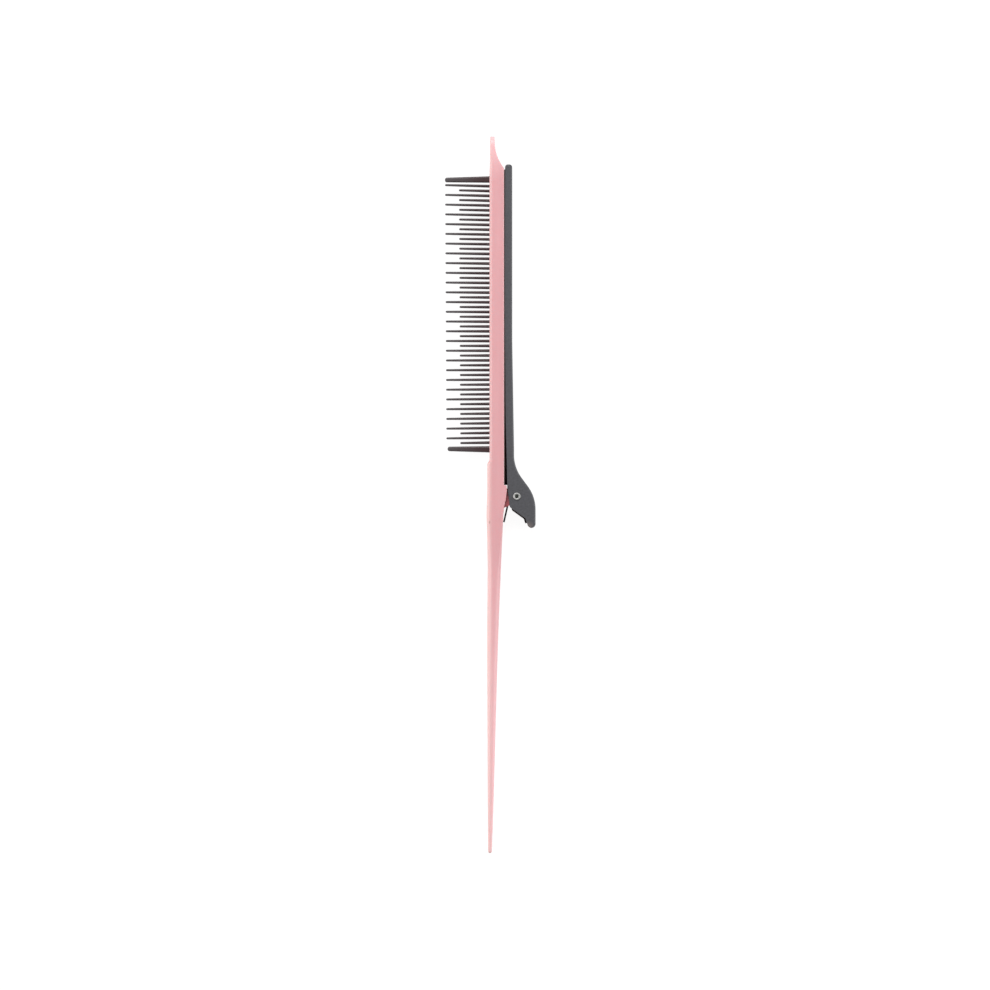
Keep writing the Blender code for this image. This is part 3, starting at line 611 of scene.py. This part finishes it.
painted = add_node(
    teeth_tree, "GeometryNodeSetMaterial", {"Geometry": smooth.outputs[0], "Material": dark_acetal}
)
add_node(teeth_tree, "NodeGroupOutput", {"Geometry": painted.outputs[0]})
teeth = grown("teeth", teeth_tree, tooth_values, (front_face + TOOTH_SUNK, first_tooth, pin.z))


def rounded(corners, steps=10):
    """The outline through (x, y, radius, weight) corners, and the weight of the side before each point."""
    outline, weights = [], []
    for i, (x, y, radius, weight) in enumerate(corners):
        corner = Vector((x, y))
        back = (Vector(corners[i - 1][:2]) - corner).normalized()
        on = (Vector(corners[(i + 1) % len(corners)][:2]) - corner).normalized()
        if not radius:
            outline.append(corner)
            weights.append(weight)
            continue
        half = back.angle(on) / 2
        centre = corner + (back + on).normalized() * radius / math.sin(half)
        start = corner + back * radius / math.tan(half) - centre
        turn = math.copysign(math.pi - 2 * half, -start.cross(back))
        outline += [centre + Matrix.Rotation(turn * s / steps, 2) @ start for s in range(steps + 1)]
        next_weight = corners[(i + 1) % len(corners)][3]
        weights += [mix(weight, next_weight, s / steps) for s in range(steps + 1)]
    return outline, weights


rail_outline, _ = rounded(
    [
        (rail_low.x, rail_low.y, 0, 1),
        (rail_high.x, rail_low.y, 0.3 * MM, 1),
        (rail_high.x, rail_high.y, 0.3 * MM, 1),
        (rail_low.x, rail_high.y, 0, 1),
    ],
    4,
)
rail = prism("rail", rail_outline, rail_low.z, rail_high.z, 0.1 * MM, segments=2)
guards = []
for name, base, side, length, lean_angle in (
    ("low_guard", first_tooth - TOOTH_ROOT / 2 - GUARD_GAP, -1, GUARD_LOW_LENGTH, LEAN_LOW),
    ("top_guard", last_tooth + TOOTH_ROOT / 2 + GUARD_GAP, 1, guard_top_length, LEAN_TOP / 2),
):
    base -= side * 0.18 * MM
    rise = length * math.tan(lean_angle)
    inside, tip_x = front_face + TOOTH_SUNK, front_face - length
    guard_outline, _ = rounded(
        [
            (inside, base, 0, 1),
            (inside, base + side * 2.2 * MM, 0, 1),
            (tip_x, base + rise + side * 1.5 * MM, 0.7 * MM, 1),
            (tip_x, base + rise, 0.7 * MM, 1),
        ],
        8,
    )
    guards.append(prism(name, guard_outline, pin.z - 1.2 * MM, pin.z + 1.2 * MM, 0.5 * MM, segments=6))
joined = bmesh.new()
for addition in (rail, *guards):
    addition.data.shade_smooth()
    addition.data.set_sharp_from_angle(angle=math.radians(40))
    joined.from_mesh(addition.data)
    bpy.data.objects.remove(addition)
solid_mesh = bpy.data.meshes.new("rail_and_guards")
joined.to_mesh(solid_mesh)
joined.free()
rail_and_guards = bpy.data.objects.new("rail_and_guards", solid_mesh)
bpy.context.scene.collection.objects.link(rail_and_guards)
rail_and_guards = polished(rail_and_guards, 40)
rail_and_guards.data.materials.append(dark_acetal)
for piece in (teeth, rail_and_guards):
    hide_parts("comb_insert")
    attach(piece, "comb")


# ---- Clip ----
# One moulding in graphite-coloured nylon, which springs without cracking: a long arm of channel section,
# two cheeks that straddle the spine's lugs, and a thumb end closed by a bar. Its outer rims are rounded for
# the hand.

RAMP_ANGLE = math.radians(36.5)
RAMP_CURVE = 13.0 * MM
CLIP_WALL = 1.2 * MM
ARM_THICK = 2.34 * MM
arm_in = front_face + SPINE_THICK + 0.42 * MM
arm_out = arm_in + ARM_THICK
arm_top = clip_high.y
lever_line = arm_out + 0.6 * MM
thumb_face = clip_high.x
ramp_y = pin.y + 9.65 * MM
ramp_low = ramp_y - (thumb_face - lever_line) / math.tan(RAMP_ANGLE)
THUMB_RADIUS = 1.35 * MM
thumb = Vector((thumb_face - THUMB_RADIUS, pin.y - 9.2 * MM))
heel = thumb + Vector((-2.03, 1.8)) * MM
cheek_edge = front_face + SPINE_THICK + 1.29 * MM
CHEEK_REACH = 4.3 * MM


def outer_side(depth):
    """The arm's back, the ramp and the thumb plate as corners, at a depth below their surface."""
    drop = depth * math.tan(RAMP_ANGLE / 2)
    return [
        (arm_out - depth, arm_top - depth, 0.95 * MM if not depth else 0.3 * MM, 0.9),
        (arm_out - depth, pin.y + 52 * MM, 0, 1),
        (lever_line - depth, pin.y + 16 * MM, 0, 1),
        (lever_line - depth, ramp_y - drop, RAMP_CURVE + depth, 1),
        (thumb_face - depth, ramp_low - drop, RAMP_CURVE - depth, 1),
    ]


heel_angle = tangent_angle(heel, thumb, THUMB_RADIUS, 1) - math.tau
heel_edge = (polar(thumb, THUMB_RADIUS, heel_angle) - heel).normalized()
low_edge = polar(pin_flat, CHEEK_REACH, tangent_angle(heel, pin_flat, CHEEK_REACH, -1))
slant = (low_edge - heel).normalized()
nose = low_edge + slant * (cheek_edge + 0.65 * MM - low_edge.x) / slant.x
thumb_end = [
    (*polar(thumb, THUMB_RADIUS, heel_angle * k / 24), 0, mix(0.9, 0.3, ease(k / 24))) for k in range(25)
]
outline, weights = rounded(
    [
        *outer_side(0),
        *thumb_end,
        (*heel, 0, 0.3),
        (*nose, 1.2 * MM, 0.12),
        (cheek_edge + 0.05 * MM, pin.y + 1.5 * MM, 5.0 * MM, 0.12),
        (cheek_edge + 0.05 * MM, pin.y + 3.45 * MM, 0.3 * MM, 0.12),
        (arm_in + 0.67 * MM, pin.y + 4.12 * MM, 1.0 * MM, 0.12),
        (arm_in + 0.12 * MM, pin.y + 27 * MM, 0, 0.12),
        (arm_in - 0.14 * MM, pin.y + 56 * MM, 0, 0.12),
        (arm_in - 0.17 * MM, pin.y + 80 * MM, 0, 0.12),
        (arm_in - 0.04 * MM, arm_top, 0.9 * MM, 0.12),
    ],
    16,
)
clip = prism("clip_moulding", outline, pin.z - cheek_out, pin.z + cheek_out, 0.7 * MM, weights, segments=6)
bar_right = Vector((thumb_face - CLIP_WALL, thumb.y + 2.6 * MM))
bar_left = heel + heel_edge * 0.3 * MM
outside = bar_left + (bar_left - bar_right)
channel_outline, _ = rounded(
    [
        *outer_side(CLIP_WALL),
        (*bar_right, 0.4 * MM, 0),
        (*outside, 0, 0),
        (front_face - 4 * MM, outside.y, 0, 0),
        (front_face - 4 * MM, arm_top - CLIP_WALL, 0, 0),
    ],
    12,
)
channel = prism("channel", channel_outline, pin.z - cheek_in, pin.z + cheek_in)
clip = carved(clip, channel)
clip = carved(clip, prism("bore", bore, pin.z - cheek_out - MM, pin.z + cheek_out + MM))
clip = polished(clip, 30)

# Glass-filled nylon, injection moulded: a matt dark grey with a fine salt-and-pepper mottle from the fibres
# near its skin, and a soft grain where the mould was spark eroded.
graphite_nylon = bpy.data.materials.new("graphite_nylon_moulded")
graphite_nylon.use_nodes = True
tree = graphite_nylon.node_tree
shader = tree.nodes["Principled BSDF"]
place = add_node(tree, "ShaderNodeTexCoord").outputs["Object"]
fibres = add_node(tree, "ShaderNodeTexNoise", {"Vector": place, "Scale": 1 / (0.6 * MM), "Detail": 5.0})
speckle = ramp(tree, fibres.outputs[0], 0.3, 0.7)
mottled = blended(tree, speckle, linear("#3f3f42"), linear("#4b4b50"))
# Painted highlight: the end's lower corner is coloured a lighter, browner grey where its rounding catches
# the light
from_thumb = add_node(
    tree,
    "ShaderNodeVectorMath",
    {0: place, 1: (thumb.x - 1.0 * MM, thumb.y - 0.8 * MM, pin.z)},
    operation="SUBTRACT",
).outputs[0]
flat_away = add_node(
    tree, "ShaderNodeVectorMath", {0: from_thumb, 1: (1.0, 1.0, 0.0)}, operation="MULTIPLY"
)
away = add_node(
    tree, "ShaderNodeVectorMath", {0: flat_away.outputs[0]}, operation="LENGTH"
).outputs["Value"]
thumb_highlight_share = ramp(tree, away, 0.4 * MM, 2.0 * MM, 0.8, 0.0)
with_thumb_highlight = blended(tree, thumb_highlight_share, mottled, linear("#6a605e"))
tree.links.new(with_thumb_highlight, shader.inputs["Base Color"])
eroded = add_node(tree, "ShaderNodeTexNoise", {"Vector": place, "Scale": 1 / (0.15 * MM), "Detail": 3.0})
matt = ramp(tree, eroded.outputs[0], 0.0, 1.0, 0.45, 0.6)
tree.links.new(matt, shader.inputs["Roughness"])
bump = add_node(
    tree, "ShaderNodeBump", {"Height": eroded.outputs[0], "Strength": 0.25, "Distance": 0.02 * MM}
)
tree.links.new(bump.outputs[0], shader.inputs["Normal"])
shader.inputs["IOR"].default_value = 1.53
clip.data.materials.append(graphite_nylon)
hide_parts("clip_lever")
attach(clip, "clip")


# ---- Grip liner ----
# Dark silicone moulded into the clip: a strip that fills the arm's channel and presses the hair against the
# spine with small cross ribs, and a thin dark lip inside each cheek that stands for the shade along its
# lower edge.

strip_back = arm_out - CLIP_WALL
spine_back = front_face + SPINE_THICK
strip_face = spine_back + 0.3 * MM
strip_low, strip_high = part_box("grip_strip")
strip_foot = pin.y + 3.8 * MM
strips = []
for front, low, high in (
    (strip_face, -cheek_in, cheek_in),
    (spine_back + 0.04 * MM, -cheek_in, 0.6 * MM - cheek_in),
    (spine_back + 0.04 * MM, cheek_in - 0.6 * MM, cheek_in),
):
    strip_outline, _ = rounded(
        [
            (strip_back + 0.1 * MM, strip_foot, 0, 1),
            (strip_back + 0.1 * MM, arm_top - 1.6 * MM, 0, 1),
            (front, arm_top - 1.6 * MM, 0.2 * MM, 1),
            (front, strip_foot, 0.1 * MM, 1),
        ],
        4,
    )
    strips.append(prism("strip", strip_outline, pin.z + low, pin.z + high, 0.05 * MM, segments=1))

rib_tree = bpy.data.node_groups.new("grip_ribs", "GeometryNodeTree")
rib_tree.interface.new_socket("Geometry", in_out="OUTPUT", socket_type="NodeSocketGeometry")
rib_sizes = {
    "Run": ("NodeSocketFloat", strip_high.y - strip_low.y - 1.2 * MM),
    "Pitch": ("NodeSocketFloat", 1.2 * MM),
    "Radius": ("NodeSocketFloat", 0.24 * MM),
    "Width": ("NodeSocketFloat", 2 * cheek_in - 1.1 * MM),
}
rib_values = {group_input(rib_tree, name, *size): size[1] for name, size in rib_sizes.items()}
given = add_node(rib_tree, "NodeGroupInput").outputs
fits = worked(rib_tree, "DIVIDE", given["Run"], given["Pitch"])
whole = worked(rib_tree, "FLOOR", fits)
step = add_node(rib_tree, "ShaderNodeCombineXYZ", {1: given["Pitch"]}).outputs[0]
row = add_node(rib_tree, "GeometryNodeMeshLine", {"Count": whole, "Offset": step}, mode="OFFSET")
rib = add_node(
    rib_tree,
    "GeometryNodeMeshCylinder",
    {"Vertices": 12, "Radius": given["Radius"], "Depth": given["Width"]},
)
ribs = add_node(
    rib_tree, "GeometryNodeInstanceOnPoints", {"Points": row.outputs[0], "Instance": rib.outputs[0]}
)
real = add_node(rib_tree, "GeometryNodeRealizeInstances", {0: ribs.outputs[0]})

# Silicone, moulded and left as it came out: soft, matt and dark, with a little dust in its grain.
black_silicone = bpy.data.materials.new("black_silicone_moulded")
black_silicone.use_nodes = True
tree = black_silicone.node_tree
shader = tree.nodes["Principled BSDF"]
place = add_node(tree, "ShaderNodeTexCoord").outputs["Object"]
dust = add_node(tree, "ShaderNodeTexNoise", {"Vector": place, "Scale": 1 / (0.5 * MM), "Detail": 4.0})
dusty = blended(tree, dust.outputs[0], linear("#5e4741"), linear("#745851"))
# Painted shade: the lips are coloured near black, to stand for the shade along each cheek's lower edge; the
# strip above them is a lighter brown
height = add_node(tree, "ShaderNodeSeparateXYZ", {0: place}).outputs["Y"]
lip_shade_share = ramp(tree, height, pin.y + 4.2 * MM, pin.y + 7 * MM, 0.9, 0.0)
with_lip_shade = blended(tree, lip_shade_share, dusty, linear("#17110f"))
tree.links.new(with_lip_shade, shader.inputs["Base Color"])
soft = ramp(tree, dust.outputs[0], 0.0, 1.0, 0.6, 0.8)
tree.links.new(soft, shader.inputs["Roughness"])
bump = add_node(tree, "ShaderNodeBump", {"Height": dust.outputs[0], "Strength": 0.2, "Distance": 0.02 * MM})
tree.links.new(bump.outputs[0], shader.inputs["Normal"])
shader.inputs["IOR"].default_value = 1.41

painted = add_node(
    rib_tree, "GeometryNodeSetMaterial", {"Geometry": real.outputs[0], "Material": black_silicone}
)
add_node(rib_tree, "NodeGroupOutput", {"Geometry": painted.outputs[0]})
rib_row = grown("ribs", rib_tree, rib_values, (strip_face, strip_low.y + 1.1 * MM, pin.z))

# The lip, a dark sheet standing for the shade along the slanting edge, stands out 0.45 mm under that edge,
# and draws in at the nose to clear the pad when open
SHADE_LIP_REACH = 4.75 * MM
square = Vector((-slant.y, slant.x))
shade_lip_shape, _ = rounded(
    [
        (*(pin_flat + square * SHADE_LIP_REACH - slant * 6.5 * MM), 0, 1),
        (*(pin_flat + square * SHADE_LIP_REACH - slant * 1.6 * MM), 0.3 * MM, 1),
        (*(pin_flat + square * 3.98 * MM - slant * 0.5 * MM), 0.6 * MM, 1),
        (cheek_edge - 0.16 * MM, pin.y + 1.5 * MM, 2.0 * MM, 1),
        (cheek_edge - 0.16 * MM, pin.y + 4.0 * MM, 0, 1),
        (cheek_edge + 1.2 * MM, pin.y + 4.0 * MM, 0, 1),
        (cheek_edge + 1.2 * MM, pin.y - 1.5 * MM, 0, 1),
        (*(heel - heel_edge * 2 * MM), 0, 1),
    ],
    16,
)
shade_lips = [
    prism("lip", shade_lip_shape, pin.z + low, pin.z + high)
    for low, high in (
        (cheek_in - 0.05 * MM, cheek_out - 0.55 * MM), (0.55 * MM - cheek_out, 0.05 * MM - cheek_in)
    )
]
joined = bmesh.new()
for addition in (*strips, rib_row, *shade_lips):
    joined.from_mesh(addition.data)
    bpy.data.objects.remove(addition)
liner_mesh = bpy.data.meshes.new("grip_liner")
joined.to_mesh(liner_mesh)
joined.free()
grip_liner = bpy.data.objects.new("grip_liner", liner_mesh)
bpy.context.scene.collection.objects.link(grip_liner)
grip_liner = polished(grip_liner, 40)
grip_liner.data.materials.clear()
grip_liner.data.materials.append(black_silicone)
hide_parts("grip_strip")
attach(grip_liner, "clip")


# ---- Rivet ----
# A brass pin turned on a lathe, drilled at both ends, nickel plated, and pressed so that each end rolls
# over into a smooth ring that holds the clip's cheeks. The tool left faint rings on it.

RIVET_OUT = rivet_high.z - pin.z
HEAD = rivet_high.x - pin.x
HOLE = 0.59 * MM
roll = (HEAD - HOLE) / 2
rivet_profile = [(0.9 * MM, 0.0), (0.9 * MM, RIVET_OUT - 0.35 * MM)]
rivet_profile += [
    (HEAD - roll + roll * math.cos(angle), RIVET_OUT - 0.33 * MM + 0.33 * MM * math.sin(angle))
    for angle in spread(-0.15, math.pi, 16)
]
rivet_profile += [
    (HOLE, RIVET_OUT - 0.7 * MM),
    (HOLE * 0.96, RIVET_OUT - 1.5 * MM),
    (HOLE * 0.8, RIVET_OUT - 1.75 * MM),
    (HOLE * 0.4, RIVET_OUT - 1.85 * MM),
]
shape = bmesh.new()
for mirror in (1, -1):
    floor = shape.verts.new((pin.x, pin.y, pin.z + mirror * (RIVET_OUT - 1.9 * MM)))
    turns = []
    for radius, height in rivet_profile:
        turns.append(
            [
                shape.verts.new((*polar(pin_flat, radius, math.tau * k / 64), pin.z + mirror * height))
                for k in range(64)
            ]
        )
    for low, high in zip(turns, turns[1:]):
        for k in range(64):
            shape.faces.new((low[k - 1], low[k], high[k], high[k - 1]))
    for k in range(64):
        shape.faces.new((turns[-1][k - 1], turns[-1][k], floor))
bmesh.ops.remove_doubles(shape, verts=shape.verts, dist=0.001 * MM)
bmesh.ops.recalc_face_normals(shape, faces=shape.faces)
rivet_mesh = bpy.data.meshes.new("rivet")
shape.to_mesh(rivet_mesh)
shape.free()
rivet_mesh.shade_smooth()
rivet_mesh.set_sharp_from_angle(angle=math.radians(50))
rivet = bpy.data.objects.new("rivet", rivet_mesh)
bpy.context.scene.collection.objects.link(rivet)

# Bright nickel over turned brass: a warm white metal, with rings 0.12 mm apart round the pin's axis that
# are as fine as can show, and a film of handling that dulls it in patches.
nickel = bpy.data.materials.new("nickel_plated_brass_turned")
nickel.use_nodes = True
tree = nickel.node_tree
shader = tree.nodes["Principled BSDF"]
place = add_node(tree, "ShaderNodeTexCoord").outputs["Object"]
centred = add_node(
    tree, "ShaderNodeMapping", {"Vector": place, "Location": tuple(-c for c in pin)}
).outputs[0]
rings_wave = add_node(
    tree,
    "ShaderNodeTexWave",
    {"Vector": centred, "Scale": 1 / (0.12 * MM) / 20, "Distortion": 0.6, "Detail": 2.0},
    wave_type="RINGS",
    rings_direction="Z",
)
film = add_node(tree, "ShaderNodeTexNoise", {"Vector": place, "Scale": 1 / (0.8 * MM), "Detail": 3.0})
dull = ramp(tree, film.outputs[0], 0.0, 1.0, 0.48, 0.6)
tree.links.new(dull, shader.inputs["Roughness"])
plated = blended(tree, film.outputs[0], linear("#acacaa"), linear("#bcbcba"))
# Painted shade: the drilled holes are coloured a duller, greener grey for the shade down in them
across = add_node(tree, "ShaderNodeVectorMath", {0: centred, 1: (1.0, 1.0, 0.0)}, operation="MULTIPLY")
radius = add_node(tree, "ShaderNodeVectorMath", {0: across.outputs[0]}, operation="LENGTH").outputs["Value"]
in_hole = ramp(tree, radius, 0.6 * MM, 0.68 * MM, 1.0, 0.0)
with_hole_shade = blended(tree, in_hole, plated, linear("#9a9e99"))
tree.links.new(with_hole_shade, shader.inputs["Base Color"])
shader.inputs["Metallic"].default_value = 1.0
bump = add_node(
    tree, "ShaderNodeBump", {"Height": rings_wave.outputs[1], "Strength": 0.1, "Distance": 0.01 * MM}
)
tree.links.new(bump.outputs[0], shader.inputs["Normal"])
rivet.data.materials.append(nickel)
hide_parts("hinge_rivet")
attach(rivet, "clip")


# ---- Torsion spring ----
# Hard-drawn spring wire, 0.5 mm thick, blackened: a leg that lies on the tail, three turns and a bit round
# the rivet between the lugs, and a leg whose bent end pushes the thumb end away. It winds up as the clip
# opens.

WIRE = 0.5 * MM
COIL_RADIUS = 2.3 * MM
LEG_GAP = 0.08 * MM
tail_behind = through((pin.y - 8.65 * MM - spine_low.y) / TAIL_LENGTH, TAIL_SHAPE)[1] * MM
tail_foot = Vector((front_face + tail_behind + WIRE / 2 + LEG_GAP / 2, pin.y - 8.65 * MM))
tail_angle = tangent_angle(tail_foot, pin_flat, COIL_RADIUS, -1)
hook_line = heel + Vector((heel_edge.y, -heel_edge.x)) * (WIRE / 2 + LEG_GAP / 2)
hook_bend = hook_line - heel_edge * 0.25 * MM
hook_end = hook_line + heel_edge * 1.6 * MM
hook_angle = tangent_angle(hook_bend, pin_flat, COIL_RADIUS, 1)
coil_turn = 3 * math.tau + (tail_angle - hook_angle) % math.tau
coil_rise = coil_turn / math.tau * (WIRE + 0.05 * MM)
side = coil_rise / 2
leg_top = polar(pin_flat, COIL_RADIUS, tail_angle)
route = [(*tail_foot.lerp(leg_top, share), pin.z + side) for share in spread(0, 0.92, 9)]
coil_steps = 150
for k in range(coil_steps + 1):
    where = polar(pin_flat, COIL_RADIUS, tail_angle - coil_turn * k / coil_steps)
    route.append((*where, pin.z + mix(side, -side, k / coil_steps)))
leaves = polar(pin_flat, COIL_RADIUS, hook_angle)
route += [(*leaves.lerp(hook_bend, share), pin.z - side) for share in spread(0.15, 0.88, 7)]
bend_from, bend_to = leaves.lerp(hook_bend, 0.92), hook_bend.lerp(hook_end, 0.22)
for share in spread(0, 1, 7):
    route.append(
        (*bend_from.lerp(hook_bend, share).lerp(hook_bend.lerp(bend_to, share), share), pin.z - side)
    )
route += [(*hook_bend.lerp(hook_end, share), pin.z - side) for share in (0.45, 0.7, 1.0)]
curve = bpy.data.curves.new("wire", "CURVE")
curve.dimensions = "3D"
curve.bevel_depth = WIRE / 2 + 0.04 * MM
curve.bevel_resolution = 4
curve.use_fill_caps = True
spline = curve.splines.new("POLY")
spline.points.add(len(route) - 1)
for point, where in zip(spline.points, route):
    point.co = (*where, 1)
wire = bpy.data.objects.new("torsion_wire", curve)
bpy.context.scene.collection.objects.link(wire)
wire = settled(wire)
welded = bmesh.new()
welded.from_mesh(wire.data)
bmesh.ops.remove_doubles(welded, verts=welded.verts, dist=0.001 * MM)
welded.to_mesh(wire.data)
welded.free()
wire.data.shade_smooth()
wire.data.set_sharp_from_angle(angle=math.radians(50))

# Blackened spring steel: a thin oxide that is even and half matt, rubbed to bare steel in fine streaks.
black_wire = bpy.data.materials.new("spring_steel_blackened")
black_wire.use_nodes = True
tree = black_wire.node_tree
shader = tree.nodes["Principled BSDF"]
place = add_node(tree, "ShaderNodeTexCoord").outputs["Object"]
along = add_node(tree, "ShaderNodeMapping", {"Vector": place, "Scale": (1.0, 0.25, 1.0)}).outputs[0]
wire_wear_and_front_highlight = add_node(tree, "ShaderNodeTexNoise", {"Vector": along, "Scale": 1 / (0.2 * MM), "Detail": 3.0})
bare = ramp(tree, wire_wear_and_front_highlight.outputs[0], 0.55, 0.8)
oxide = blended(tree, bare, linear("#100f0f"), linear("#2c2a29"))
tree.links.new(oxide, shader.inputs["Base Color"])
sheen = ramp(tree, wire_wear_and_front_highlight.outputs[0], 0.0, 1.0, 0.5, 0.34)
tree.links.new(sheen, shader.inputs["Roughness"])
shader.inputs["Metallic"].default_value = 0.2
wire.data.materials.append(black_wire)
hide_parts("torsion_spring")
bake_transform(wire)


# ---- Studio ----
# A pale table of opal acrylic that glows a little from below, in a white room with three round soft boxes,
# seen from straight above through a long lens.

floor_mesh = bpy.data.meshes.new("table")
floor_mesh.from_pydata([(-3, -3, 0), (3, -3, 0), (3, 3, 0), (-3, 3, 0)], [], [(0, 1, 2, 3)])
floor_mesh.transform(Matrix.Translation((0, 0, -0.3 * MM)))
table = bpy.data.objects.new("table", floor_mesh)
bpy.context.scene.collection.objects.link(table)
acrylic = bpy.data.materials.new("opal_acrylic")
acrylic.use_nodes = True
shader = acrylic.node_tree.nodes["Principled BSDF"]
shader.inputs["Base Color"].default_value = linear("#5c5c5c")
shader.inputs["Roughness"].default_value = 0.7
shader.inputs["Emission Color"].default_value = (1.0, 1.0, 1.0, 1.0)
shader.inputs["Emission Strength"].default_value = 0.93
table.data.materials.append(acrylic)

world = bpy.data.worlds.new("white_room")
world.use_nodes = True
world.node_tree.nodes["Background"].inputs["Color"].default_value = (1.0, 1.0, 1.0, 1.0)
world.node_tree.nodes["Background"].inputs["Strength"].default_value = 0.4
bpy.context.scene.world = world

for name, spot, size, power in (
    ("head_box", (-0.15, 0.85, 0.85), 0.9, 9.7),
    ("left_box", (-1.0, 0.0, 0.5), 0.8, 5.5),
    ("right_box", (1.1, 0.1, 0.4), 0.8, 7.0),
):
    lamp = bpy.data.lights.new(name, "AREA")
    lamp.shape = "DISK"
    lamp.size = size
    lamp.energy = power
    soft_box = bpy.data.objects.new(name, lamp)
    soft_box.location = spot
    soft_box.rotation_euler = (-Vector(spot)).to_track_quat("-Z", "Y").to_euler()
    bpy.context.scene.collection.objects.link(soft_box)

bpy.context.scene.view_settings.view_transform = "Standard"
VIEW_WIDTH = 331.65 * MM
VIEW_HEIGHT = 1.6
lens = bpy.data.cameras.new("long_lens")
lens.sensor_width = 36.0
lens.lens = lens.sensor_width * VIEW_HEIGHT / VIEW_WIDTH
lens.clip_start = 0.05
camera = bpy.data.objects.new("camera", lens)
camera.location = (front_face + 1.843 * MM, 0.0, pin.z + VIEW_HEIGHT)
bpy.context.scene.collection.objects.link(camera)
bpy.context.scene.camera = camera
